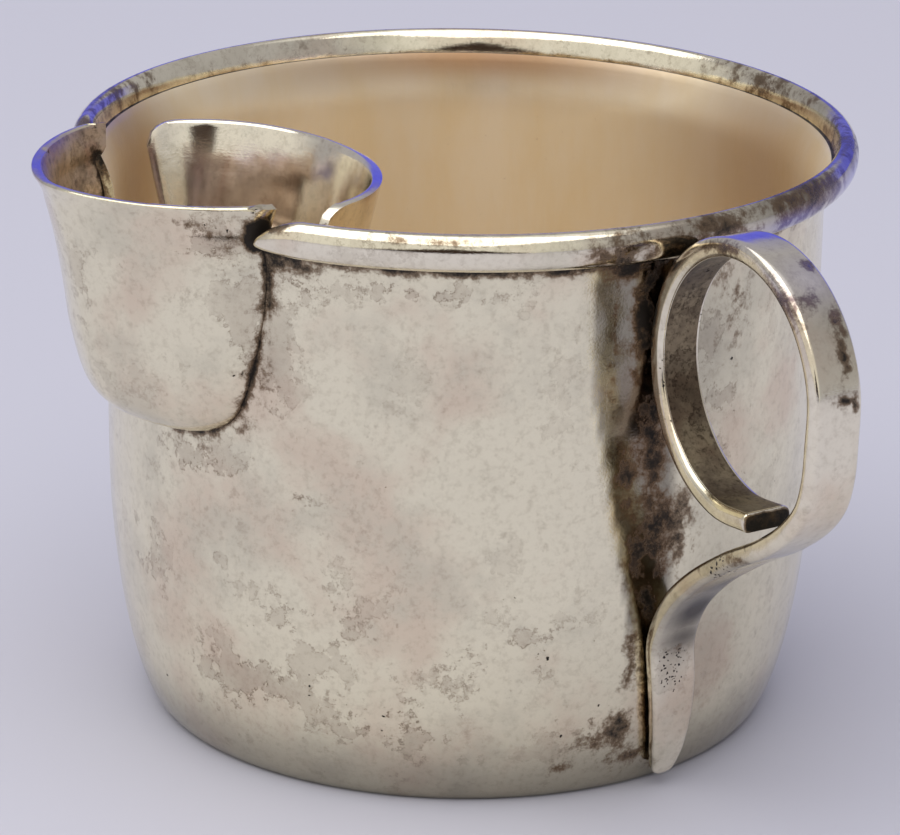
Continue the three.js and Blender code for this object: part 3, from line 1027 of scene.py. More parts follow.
@dataclass(frozen=True)
class Gilding:
    """Fire gilding on the raised silver, brushed soft by cleaning.

    The gold is a matt warm tan, paler where it is rubbed, with faint upright drifts, a few brown flecks
    and a browner painted shade on the wall's sides and towards the lip. Sizes are millimetres.
    """

    name: str = "fire_gilding_matt"
    gold: str = "#FBEAC8"
    rubbed: str = "#FFF3DC"
    brown: str = "#8A6038"
    drift_size: float = 6.0
    fleck_size: float = 1.1
    seam_flecks: float = 0.35
    drift_depth: float = 0.1
    fleck_depth: float = 0.01
    roughness: float = 0.33
    metallic: float = 0.5

    def build(self) -> bpy.types.Material:
        """Makes the material.

        Returns:
            The finished material.
        """
        material = start_material(self.name)
        tree = material.node_tree
        at = add_node(tree, "TexCoord", out="Object")
        upright = add_node(tree, "Mapping", {"Vector": at, "Scale": (1.0, 1.0, 0.25)})
        drifts = {"Vector": upright, "Scale": per(self.drift_size), "Detail": 6.0, "Roughness": 0.6}
        drift = add_node(tree, "TexNoise", drifts)
        worn = add_node(tree, "MapRange", {"Value": drift, "From Min": 0.35, "From Max": 0.65})
        tones = {MIX_FACTOR: worn, MIX_A: linear(self.gold), MIX_B: linear(self.rubbed)}
        tone = add_node(tree, "Mix", tones, **COLOURS)
        specks = {"Vector": at, "Scale": per(self.fleck_size), "Detail": 7.0, "Roughness": 0.75}
        flecks = add_node(tree, "TexNoise", specks)
        near = add_node(tree, "Attribute", out="Fac", attribute_name=NEARNESS)
        gathered = {0: near, 1: self.seam_flecks, 2: flecks}
        soiled = add_node(tree, "Math", gathered, operation="MULTIPLY_ADD")
        patches = {"Value": soiled, "From Min": 0.62, "From Max": 0.86, "To Max": 0.7}
        dark = add_node(tree, "MapRange", patches, **SMOOTH)
        # Painted shade: the brown deepens where the painted shade attribute is high, on the gilt sides
        # and under the lip.
        veil = add_node(tree, "Attribute", out="Fac", attribute_name=Layer.PAINTED_SHADE.value)
        flecks_and_shade = add_node(tree, "Math", {0: dark, 1: veil}, operation="MAXIMUM")
        browned = {MIX_FACTOR: flecks_and_shade, MIX_A: tone, MIX_B: linear(self.brown)}
        colour = add_node(tree, "Mix", browned, **COLOURS)
        low, high = self.roughness * 0.85, self.roughness * 1.2
        spread = {"Value": flecks, "From Min": 0.3, "From Max": 0.7, "To Min": low, "To Max": high}
        matt = add_node(tree, "MapRange", spread)
        fine = {"Height": flecks, "Strength": 1.0, "Distance": self.fleck_depth * MM}
        grain = add_node(tree, "Bump", fine)
        swell = {"Height": drift, "Strength": 1.0, "Distance": self.drift_depth * MM, "Normal": grain}
        wave = add_node(tree, "Bump", swell)
        finish = {"Base Color": colour, "Metallic": self.metallic, "Roughness": matt, "Normal": wave}
        shader = add_node(tree, "BsdfPrincipled", finish)
        add_node(tree, "OutputMaterial", {"Surface": shader})
        return material


SATIN = Silver()
POLISHED_WIRE = Silver(
    name="sterling_silver_polished_wire",
    bright="#F4ECD6",
    roughness=0.09,
    relief=0.5,
    pit_amount=0.4,
)
ROLLED_PLATE = Silver(
    name="sterling_silver_rolled_plate",
    bright="#F5EDDB",
    grey_cast="#E4DFD0",
    roughness=0.12,
    relief=0.4,
    pit_amount=0.0,
    stain_amount=0.2,
    scratch_width=0.35,
    scratch_run=(0.06, 0.06, 1.0),
)
WORN_STRAP = Silver(
    name="sterling_silver_worn_strap",
    bright="#F4ECD6",
    roughness=0.12,
    relief=0.6,
    pit_amount=0.8,
    pit_spacing=0.42,
    stain_amount=0.35,
)
# Sulphide that no cloth has reached lies over the metal as an even brown film, dull to the eye.
RING_PATINA = Silver(
    name="silver_sulphide_even_brown",
    bright="#8E8068",
    pink_cast="#6A5645",
    grey_cast="#5A4E41",
    stain="#4E4134",
    brown="#2E231A",
    patch_size=7.0,
    speckle_size=0.5,
    roughness=0.34,
    dust_amount=0.75,
)
# Inside the spout it has built up in a rough crust, reddish brown where it is thin.
ROUGH_PATINA = Silver(
    name="silver_sulphide_rough_brown",
    bright="#C6AF9B",
    pink_cast="#A9836F",
    grey_cast="#7A6B5F",
    stain="#6A5540",
    brown="#35271C",
    dust_amount=0.6,
    patch_size=5.0,
    grain_size=0.7,
    roughness=0.42,
    relief=4.0,
)
FIRE_GILDING = Gilding()
FINISHES = (SATIN, POLISHED_WIRE, ROLLED_PLATE, WORN_STRAP, RING_PATINA, ROUGH_PATINA, FIRE_GILDING)


# Pieces


@dataclass
class CupPiece:
    """What every piece has: the wall that it follows, its names in the record, its marks and finishes."""

    node: ClassVar[str]
    slot: ClassVar[str]
    marks: ClassVar[Marks]
    finishes: ClassVar[tuple[Silver | Gilding, ...]]
    wall: WallForm = WallForm()

    def build(self) -> Piece:
        """Makes the piece's mesh."""
        raise NotImplementedError

    def dress(self, piece: Piece, materials: Sequence[bpy.types.Material]) -> None:
        """Paints marks, shade and reflections, smooths the piece, gives it its finishes and ties it to
        the frame.

        Args:
            piece: The finished mesh.
            materials: Its materials, by slot.
        """
        for layer in Layer:
            paint(piece, layer, self.marks.get(layer, ()))
        slots = piece.data.materials
        for i, material in enumerate(materials):
            if i < len(slots):
                slots[i] = material
            else:
                slots.append(material)
        make_active(piece)
        bpy.ops.object.shade_smooth_by_angle(angle=SMOOTH_ANGLE)
        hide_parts(self.node)
        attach(piece, BODY)


@dataclass
class CupBody(CupPiece):
    """The raised silver body: base, wall and lip, gilt inside."""

    node = "cup_body"
    slot = "silver_body"
    marks = BODY_MARKS
    finishes = (SATIN, FIRE_GILDING)
    segments: int = 360
    centre_radius: float = 2.0
    base_rings: int = 5
    opening_depth: float = 17.6
    opening_side: float = 14.2
    opening_top: float = 15.6
    opening_floor: float = 8.5
    opening_corner: float = 8.6
    opening_steps: int = 12
    cutter_above: float = 2.0
    cutter_beyond: float = 3.0
    gilt_depth: float = 0.6

    def build(self) -> Piece:
        """Raises the wall ring by ring from the middle of the base, over the lip and back inside.

        Returns:
            The body with its opening cut behind the spout.
        """
        outer = self.wall.profile(0)
        inner = self.wall.profile(self.wall.thickness)[::-1]
        parts = [i / self.base_rings for i in range(self.base_rings)]
        base = [(lerp(self.centre_radius, self.wall.base_radius, part), 0.0) for part in parts]
        floor = [(radius, self.wall.thickness) for radius, _ in reversed(base)]
        rings = base + outer + inner + floor
        deselect_all()
        bpy.ops.mesh.primitive_circle_add(vertices=self.segments, radius=rings[0][0] * MM)
        piece = bpy.context.active_object
        piece.name = "silver_body"
        bpy.ops.object.mode_set(mode="EDIT")
        for (radius, height), (new_radius, new_height) in zip(rings, rings[1:]):
            rise = {"value": (0, 0, (new_height - height) * MM)}
            bpy.ops.mesh.extrude_edges_move(TRANSFORM_OT_translate=rise)
            grow = new_radius / radius
            centre = (0, 0, new_height * MM)
            bpy.ops.transform.resize(value=(grow, grow, 1), center_override=centre)
        bpy.ops.mesh.edge_face_add()
        middle = self.centre_radius * MM * JUST_PAST
        select_vertices(lambda at: math.hypot(at.x, at.y) < middle and at.z < MM / 2)
        bpy.ops.mesh.edge_face_add()
        recalculate_faces(piece)
        self.cut_opening(piece)
        return piece

    def cut_opening(self, piece: Piece) -> None:
        """Cuts the opening that lets the drink into the spout.

        Args:
            piece: The closed body.
        """
        lip = self.wall.height
        floor = lip - self.opening_depth
        corner = lip - self.opening_corner
        half = [(self.opening_floor, floor)]
        for i in range(1, self.opening_steps):
            part = i / self.opening_steps
            side = lerp(self.opening_floor, self.opening_side, 1 - (1 - part) ** 2)
            half.append((side, lerp(floor, corner, part**2)))
        half.append((self.opening_side, corner))
        half += [(self.opening_top, lip), (self.opening_top, lip + self.cutter_above)]
        outline = [(-side, height) for side, height in reversed(half)] + half
        points = [Vector((side, 0, height)) * MM for side, height in outline]
        cutter = draw_line("opening_cutter", points)
        bpy.ops.mesh.select_all(action="SELECT")
        bpy.ops.mesh.edge_face_add()
        reach = {"value": (0, -(self.wall.lip_radius + self.cutter_beyond) * MM, 0)}
        bpy.ops.mesh.extrude_region_move(TRANSFORM_OT_translate=reach)
        recalculate_faces(cutter)
        cut = piece.modifiers.new("opening", "BOOLEAN")
        cut.object = cutter
        cut.operation = "DIFFERENCE"
        cut.solver = "EXACT"
        apply_modifiers(piece)
        bpy.data.objects.remove(cutter)

    def dress(self, piece: Piece, materials: Sequence[bpy.types.Material]) -> None:
        """Dresses the body as every piece is, and gilds its inner faces.

        Args:
            piece: The finished body.
            materials: The silver, then the gilding.
        """
        super().dress(piece, materials)
        skin = self.wall.thickness * self.gilt_depth
        for face in piece.data.polygons:
            at = face.center / MM
            inside = math.hypot(at.x, at.y) < self.wall.radius(at.z) - skin
            if inside and at.z > skin:
                face.material_index = Face.INSIDE.value


@dataclass
class RimWire(CupPiece):
    """The oval wire on the lip, open at the spout and closed at each end by a rounded nose."""

    node = "rim_wire"
    slot = "silver_wire"
    marks = WIRE_MARKS
    finishes = (POLISHED_WIRE,)
    radius: float = 37.98
    height: float = 58.1
    half_width: float = 1.27
    half_height: float = 1.82
    inner_drop: float = 1.2
    inner_drop_reach: float = 1.15
    first_angle: float = 26.4
    nose_length: float = 5.1
    nose_turn: float = 14.0
    nose_sink: float = 0.55
    nose_steps: int = 12
    nose_end_turn: float = 89.0
    nose_run_power: float = 1.4
    nose_size_power: float = 0.55
    section_points: int = 32
    steps: int = 280

    def build(self) -> Piece:
        """Spins the wire's oval section about the cup, and draws out the noses.

        Returns:
            The wire as one closed mesh.
        """
        nose_angle = math.degrees(self.nose_length / self.radius)
        gap = math.radians(2 * self.first_angle + 2 * nose_angle)
        sweep = 2 * math.pi - gap
        centre = Vector((self.radius, 0, self.height)) * MM
        deselect_all()
        bpy.ops.mesh.primitive_circle_add(
            vertices=self.section_points,
            radius=MM,
            fill_type="NGON",
            location=centre,
            rotation=(math.pi / 2, 0, 0),
        )
        piece = bpy.context.active_object
        piece.name = "silver_rim_wire"
        bpy.ops.object.transform_apply(location=True, rotation=True)
        bpy.ops.object.mode_set(mode="EDIT")
        oval = (self.half_width, 1, self.half_height)
        bpy.ops.transform.resize(value=oval, center_override=centre)
        inner = centre.x - self.half_width * MM
        select_vertices(lambda at: at.x < inner + NEAR)
        pull_down(self.inner_drop, self.half_height * self.inner_drop_reach)
        bpy.ops.mesh.select_all(action="SELECT")
        bpy.ops.mesh.spin(steps=self.steps, angle=sweep, center=(0, 0, 0), axis=(0, 0, 1))
        self.draw_nose(0.0, 1)
        self.draw_nose(-sweep, -1)
        bpy.ops.object.mode_set(mode="OBJECT")
        piece.rotation_euler.z = -math.pi / 2 - gap / 2
        bpy.ops.object.transform_apply(rotation=True)
        recalculate_faces(piece, weld=0.001)
        return piece

    def draw_nose(self, angle: float, side: int) -> None:
        """Draws one end of the wire out into a nose that slopes down to the spout.

        Args:
            angle: The end's place round the cup in radians.
            side: 1 where the nose points anticlockwise, -1 where it points clockwise.
        """
        out = Vector((math.cos(angle), math.sin(angle), 0))
        along = Vector((-out.y, out.x, 0)) * side
        centre = out * self.radius * MM + Vector((0, 0, self.height)) * MM
        around = 3 * MM
        select_vertices(lambda at: abs((at - centre).dot(along)) < NEAR and (at - centre).length < around)
        centre = centre - Vector((0, 0, self.half_height * self.nose_sink * MM))
        last_run, last_size = 0.0, 1.0
        for step in range(1, self.nose_steps + 1):
            run = math.sin(math.radians(self.nose_end_turn) * step / self.nose_steps)
            size = (1 - run**self.nose_run_power) ** self.nose_size_power
            move = along * self.nose_length * MM * (run - last_run)
            centre = centre + move
            scale = size / last_size
            extrude_row(move, (scale, scale, scale), centre)
            turn = -math.radians(self.nose_turn) * side / self.nose_steps
            bpy.ops.transform.rotate(value=turn, orient_axis="Z", center_override=centre)
            last_run, last_size = run, size


@dataclass
class Spout(CupPiece):
    """The formed spout: a sheet channel with a broad rounded nose and a flared lip."""

    node = "spout"
    slot = "silver_body"
    marks = SPOUT_MARKS
    finishes = (SATIN, ROUGH_PATINA)
    sheet: float = 1.0
    lip_height: float = 60.6
    lip_seat_radius: float = 36.3
    seat_below: float = 0.9
    seat_above: float = 0.5
    lip_clearance: float = 1.2
    plan_power: float = 1.64
    plan_points: int = 112
    rows_per_span: int = 8
    end_drop: float = 0.35
    end_reach: float = 3.6
    edge_round: float = 0.42
    stations: tuple[Triple, ...] = (
        (25.2, 4.0, 0.5),
        (24.6, 8.0, 2.4),
        (23.7, 10.6, 3.9),
        (21.8, 12.8, 5.5),
        (16.9, 14.6, 7.05),
        (11.6, 15.7, 7.9),
        (5.9, 16.3, 9.1),
        (2.1, 16.8, 10.2),
        (0.0, 17.3, 11.5),
    )

    def root(self, half: float, height: float) -> float:
        """Gives how far from the cup's axis the sheet meets the cup, along the spout's axis.

        Args:
            half: The spout's half width at that height.
            height: Height above the table.

        Returns:
            The distance in millimetres.
        """
        lip = self.wall.height
        onto_lip = smoothstep(height, lip - self.seat_below, lip + self.seat_above)
        radius = lerp(self.wall.radius(height), self.lip_seat_radius, onto_lip)
        return math.sqrt(radius**2 - half**2)

    def build(self) -> Piece:
        """Extrudes the foot's outline up through the stations, then gives the sheet its thickness.

        Returns:
            The spout, its inner face on the second material slot.
        """
        high, lip = self.wall.high_radius, self.lip_height
        spine = [Vector((half, high + reach, lip - below)) for below, half, reach in self.stations]
        rows = catmull_rom(spine, self.rows_per_span)
        last_row = lip - self.edge_round * self.lip_clearance
        rows = [row for row in rows[:-1] if row.z < last_row] + [rows[-1]]
        half, reach, height = rows[0]
        root = self.root(half, height)
        outline = []
        for i in range(self.plan_points + 1):
            turn = lerp(-math.pi / 2, math.pi / 2, i / self.plan_points)
            out = abs(math.cos(turn)) ** (2 / self.plan_power)
            side = math.copysign(abs(math.sin(turn)) ** (2 / self.plan_power), turn)
            outline.append(Vector((half * side, -(root + (reach - root) * out), height)) * MM)
        piece = draw_line("silver_spout", outline)
        bpy.ops.mesh.select_all(action="SELECT")
        for new_half, new_reach, new_height in rows[1:]:
            new_root = self.root(new_half, new_height)
            step = Vector((0, root - new_root, new_height - height)) * MM
            grow = (new_half / half, (new_reach - new_root) / (reach - root), 1)
            extrude_row(step, grow, Vector((0, -new_root, new_height)) * MM)
            half, reach, height, root = new_half, new_reach, new_height, new_root
        self.drop_ends(half, root)
        bpy.ops.object.mode_set(mode="OBJECT")
        face_away(piece, Vector((0, 0, self.lip_height * MM / 2)))
        add_sheet(piece, self.sheet, self.edge_round, self.lip_height - FILED)
        return piece

    def drop_ends(self, half: float, root: float) -> None:
        """Lets the lip fall a little where it meets the cup's own lip.

        Args:
            half: The lip's half width.
            root: Distance from the cup's axis at which the lip ends.
        """
        ends = [Vector((side * half, -root, self.lip_height)) * MM for side in (-1, 1)]
        select_vertices(lambda at: any((at - end).length < 10 * NEAR for end in ends))
        pull_down(self.end_drop, self.end_reach)


@dataclass
class GuardPlate(CupPiece):
    """The curved plate that stands in the cup before the spout."""

    node = "guard_plate"
    slot = "silver_plate"
    marks = GUARD_MARKS
    finishes = (ROLLED_PLATE, ROLLED_PLATE)
    sheet: float = 1.0
    rise: float = 2.1
    height: float = 30.2
    top_inset: float = 8.9
    foot_inset: float = 2.2
    straight_part: float = 0.7
    bend_power: float = 0.8
    lip_lean: float = 0.9
    top_depth: float = 12.7
    depth_power: float = 0.95
    top_half: float = 16.6
    foot_half: float = 9.5
    width_power: float = 0.9
    corner_radius: float = 2.4
    corner_spread: float = 0.9
    rows: int = 40
    columns: int = 64
    first_row: float = 0.02
    edge_round: float = 0.42

    def row(self, up: float) -> tuple[float, float, float, float]:
        """Gives one row of the plate.

        Args:
            up: Part of the plate's height, 0 at its foot.

        Returns:
            Half width, depth of the bow, distance of its ends from the cup's axis, and height.
        """
        lean = min(up / self.straight_part, 1) ** self.bend_power
        upper = max(up - self.straight_part, 0) / (1 - self.straight_part)
        inset = lerp(self.foot_inset, self.top_inset, lean) + self.lip_lean * (lean - upper)
        centre = self.wall.high_radius - inset
        depth = self.top_depth * up**self.depth_power
        half = lerp(self.foot_half, self.top_half, up**self.width_power)
        top = self.wall.height + self.rise
        return half, depth, centre, lerp(top - self.height, top, up)

    def build(self) -> Piece:
        """Extrudes the bowed line up from the foot and rounds the two top corners.

        Returns:
            The plate as a closed sheet.
        """
        half, depth, centre, height = self.row(self.first_row)
        line = []
        for i in range(self.columns + 1):
            turn = lerp(-math.pi / 2, math.pi / 2, i / self.columns)
            side, reach = half * math.sin(turn), centre - depth * math.cos(turn)
            line.append(Vector((side, -reach, height)) * MM)
        piece = draw_line("silver_guard_plate", line)
        bpy.ops.mesh.select_all(action="SELECT")
        for i in range(1, self.rows + 1):
            up = lerp(self.first_row, 1, i / self.rows)
            new_half, new_depth, new_centre, new_height = self.row(up)
            step = Vector((0, centre - new_centre, new_height - height)) * MM
            grow = (new_half / half, new_depth / depth, 1)
            extrude_row(step, grow, Vector((0, -new_centre, new_height)) * MM)
            half, depth, centre, height = new_half, new_depth, new_centre, new_height
        bpy.ops.object.mode_set(mode="OBJECT")
        self.round_corners(piece)
        face_away(piece, Vector((0, 0, self.wall.height * MM)))
        add_sheet(piece, self.sheet, self.edge_round, self.wall.height + self.rise - FILED)
        return piece

    def turn_at(self, at: Vector) -> float:
        """Gives how far round the bow a point lies.

        Args:
            at: A point of the plate, in metres.

        Returns:
            The turn in radians, from 0 in the middle to a quarter turn at an end.
        """
        up = (at.z / MM - self.wall.height - self.rise + self.height) / self.height
        return math.asin(min(abs(at.x) / MM / self.row(max(up, self.first_row))[0], 1.0))

    def round_corners(self, piece: Piece) -> None:
        """Scales the outer columns down, from the ends inwards, to round the plate's top corners.

        Args:
            piece: The plate, still a single surface.
        """
        foot = self.wall.height + self.rise - self.height
        make_active(piece)
        bpy.ops.object.mode_set(mode="EDIT")
        for i in range(self.columns // 2):
            from_edge = i / self.columns * 2 * self.top_half * self.corner_spread
            cut = 1 - from_edge / self.corner_radius
            if cut <= 0:
                break
            turn = math.pi / 2 - math.pi * i / self.columns
            select_vertices(lambda at: abs(self.turn_at(at) - turn) < math.pi / 2 / self.columns)
            drop = self.corner_radius * (1 - math.sqrt(1 - min(cut, 1) ** 2))
            shrink = (1, 1, 1 - drop / self.height)
            bpy.ops.transform.resize(value=shrink, center_override=(0, 0, foot * MM))
        bpy.ops.object.mode_set(mode="OBJECT")


@dataclass
class StrapHandle(CupPiece):
    """The strap: a finger ring, the run back under it and the leaf-shaped tail on the wall."""

    node = "handle"
    slot = "silver_strap"
    marks = STRAP_MARKS
    finishes = (WORN_STRAP, RING_PATINA)
    thickness: float = 1.9
    edge_radius: float = 0.55
    edge_segments: int = 4
    face_columns: int = 9
    fit: float = 0.3
    ring_drop: float = 10.3
    ring_half_width: float = 12.63
    ring_half_height: float = 12.98
    ring_start: float = -76.0
    ring_end: float = -372.0
    ring_stations: int = 12
    start_width: float = 5.3
    wall_width: float = 4.7
    wall_part: float = 0.35
    outer_width: float = 5.4
    outer_bend: tuple[Triple, ...] = (
        (0.55, 7.1, 5.4),
        (1.45, 4.2, 5.4),
        (3.55, 1.6, 5.4),
        (7.35, -1.3, 5.3),
    )
    inner_bend: tuple[Triple, ...] = (
        (13.57, -4.6, 5.2),
        (7.6, -8.8, 5.1),
        (3.73, -12.7, 5.0),
    )
    tail: tuple[tuple[float, float], ...] = (
        (0.237, 5.2),
        (0.473, 5.1),
        (0.67, 4.6),
        (0.847, 3.7),
        (0.956, 2.5),
        (1.0, 1.3),
    )
    tip_height: float = 1.3
    tip_thickness: float = 1.1
    tip_round: float = 0.6
    tip_steps: int = 8
    tip_end_turn: float = 86.0
    end_round: float = 0.22
    end_steps: int = 5
    side_drift: float = 2.7
    drift_lead: float = 6.5
    tail_fit: float = 0.45
    steps_per_span: int = 12
    inner_reach: float = 1.05
    inner_facing: float = 0.99

    def centre(self) -> tuple[float, float]:
        """Gives the finger ring's centre: its reach from the cup's axis and its height."""
        reach = self.wall.high_radius + self.fit + self.thickness / 2 + self.ring_half_width
        return reach, self.wall.height - self.ring_drop

    def stations(self) -> list[tuple[float, float, float, float]]:
        """Lists the strap's stations from its cut end to the tip of its tail.

        Returns:
            Reach, height, width and thickness of each, in millimetres.
        """
        reach, middle = self.centre()
        under = middle - self.ring_half_height
        places = []
        for i in range(self.ring_stations + 1):
            part = i / self.ring_stations
            angle = math.radians(lerp(self.ring_start, self.ring_end, part))
            if part < self.wall_part:
                width = lerp(self.start_width, self.wall_width, part / self.wall_part)
            else:
                rest = (part - self.wall_part) / (1 - self.wall_part)
                width = lerp(self.wall_width, self.outer_width, rest)
            out = reach + self.ring_half_width * math.cos(angle)
            height = middle + self.ring_half_height * math.sin(angle)
            places.append((out, height, width, self.thickness))
        outer = reach + self.ring_half_width
        for inset, rise, width in self.outer_bend:
            places.append((outer - inset, under + rise, width, self.thickness))
        for off_wall, rise, width in self.inner_bend:
            height = under + rise
            places.append((self.wall.radius(height) + off_wall, height, width, self.thickness))
        tail_top = places[-1][1]
        for part, width in self.tail:
            height = lerp(tail_top, self.tip_height, part)
            thick = lerp(self.thickness, self.tip_thickness, part)
            places.append((self.wall.radius(height) + self.tail_fit + thick / 2, height, width, thick))
        return places

    def build(self) -> Piece:
        """Draws the strap out straight, section by section, and bends it along its path.

        Returns:
            The bent strap with rounded edges, and a UV map whose U runs along it in metres.
        """
        places = self.stations()
        centres = [Vector((reach, height, 0)) * MM for reach, height, _, _ in places]
        path = catmull_rom(centres, self.steps_per_span)
        tail_top = places[-len(self.tail) - 1][1]
        sections = []
        run = 0.0
        for i, point in enumerate(path):
            run += (point - path[i - 1]).length if i else 0.0
            span, rest = divmod(min(i, len(path) - 1), self.steps_per_span)
            low, high = places[span], places[min(span + 1, len(places) - 1)]
            part = rest / self.steps_per_span
            width, thick = lerp(low[2], high[2], part), lerp(low[3], high[3], part)
            sunk = smoothstep(-point.y / MM, -tail_top - self.drift_lead, -self.tip_height)
            sections.append([run, width, thick, self.side_drift * sunk])
        piece = self.draw_strap(self.with_rounded_ends(sections))
        self.bend(piece, path)
        recalculate_faces(piece, weld=0.0005)
        self.mark_inner_faces(piece)
        return piece

    def mark_inner_faces(self, piece: Piece) -> None:
        """Puts the faces that look into the ring, and the cut end, on the second material slot.

        Args:
            piece: The bent strap.
        """
        reach, middle = self.centre()
        for _ in Face:
            piece.data.materials.append(None)
        for face in piece.data.polygons:
            at = face.center / MM
            inwards = Vector((reach - at.x, 0, middle - at.z))
            away = math.hypot(inwards.x / self.ring_half_width, inwards.z / self.ring_half_height)
            facing = face.normal.dot(inwards.normalized())
            looks_in = away < self.inner_reach and facing > self.inner_facing
            cut_end = len(face.vertices) > 4 and at.z > self.tip_height * 2
            if looks_in or cut_end:
                face.material_index = Face.INSIDE.value

    def with_rounded_ends(self, sections: list[list[float]]) -> list[list[float]]:
        """Rounds the edges of the cut end and the tip of the tail.

        Args:
            sections: Run in metres, then width, thickness and drift in millimetres.

        Returns:
            The sections with the rounding added at both ends.
        """
        first, last = sections[0], sections[-1]
        start = []
        for i in range(self.end_steps):
            turn = math.pi / 2 * i / self.end_steps
            short = self.end_round * (1 - math.sin(turn))
            run = self.end_round * MM * (1 - math.cos(turn))
            start.append([first[0] + run, first[1] - 2 * short, first[2] - 2 * short, first[3]])
        kept = [s for s in sections if self.end_round * MM < s[0] < last[0] - self.tip_round * MM]
        tip = []
        for i in range(self.tip_steps):
            turn = math.radians(self.tip_end_turn) * i / (self.tip_steps - 1)
            run = last[0] - self.tip_round * MM * (1 - math.sin(turn))
            tip.append([run, last[1] * math.cos(turn), last[2] * math.cos(turn), last[3]])
        return start + kept + tip

    def draw_strap(self, sections: list[list[float]]) -> Piece:
        """Draws the straight strap along +X from a rounded rectangle.

        Args:
            sections: Run in metres, then width, thickness and drift in millimetres.

        Returns:
            The straight strap, its width along Z and its thickness along Y.
        """
        deselect_all()
        turned = (0, math.pi / 2, 0)
        bpy.ops.mesh.primitive_plane_add(size=MM, rotation=turned)
        piece = bpy.context.active_object
        piece.name = "silver_strap_handle"
        bpy.ops.object.transform_apply(rotation=True)
        bpy.ops.object.mode_set(mode="EDIT")
        run, width, thick, drift = sections[0]
        bpy.ops.transform.resize(value=(1, thick, width), center_override=(0, 0, 0))
        rounding = {"offset": self.edge_radius * MM, "segments": self.edge_segments}
        bpy.ops.mesh.bevel(offset_type="OFFSET", affect="VERTICES", **rounding)
        bpy.ops.mesh.select_all(action="SELECT")
        bpy.ops.mesh.delete(type="ONLY_FACE")
        flat = (width / 2 - self.edge_radius) * MM * JUST_PAST
        select_vertices(lambda at: abs(at.z) < flat)
        bpy.ops.mesh.subdivide(number_cuts=self.face_columns)
        bpy.ops.mesh.select_all(action="SELECT")
        bpy.ops.mesh.edge_face_add()
        for new_run, new_width, new_thick, new_drift in sections[1:]:
            step = Vector((new_run - run, 0, -(new_drift - drift) * MM))
            grow = (1, new_thick / thick, new_width / width)
            extrude_row(step, grow, (new_run, 0, -new_drift * MM))
            run, width, thick, drift = new_run, new_width, new_thick, new_drift
        bpy.ops.object.mode_set(mode="OBJECT")
        add_run_map(piece)
        return piece

    def bend(self, piece: Piece, path: Sequence[Vector]) -> None:
        """Bends the straight strap along its path and stands it upright.

        Args:
            piece: The straight strap.
            path: The strap's centre line, with reach as X and height as Y, in metres.
        """
        line = bpy.data.curves.new("strap_path", "CURVE")
        line.dimensions = "2D"
        spline = line.splines.new("POLY")
        spline.points.add(len(path) - 1)
        for point, place in zip(spline.points, path):
            point.co = (place.x, place.y, 0, 1)
        guide = bpy.data.objects.new("strap_path", line)
        bpy.context.collection.objects.link(guide)
        bent = piece.modifiers.new("bend", "CURVE")
        bent.object = guide
        bent.deform_axis = "POS_X"
        apply_modifiers(piece)
        bpy.data.objects.remove(guide)
        piece.rotation_euler.x = math.pi / 2
        bpy.ops.object.transform_apply(rotation=True)


# Stage


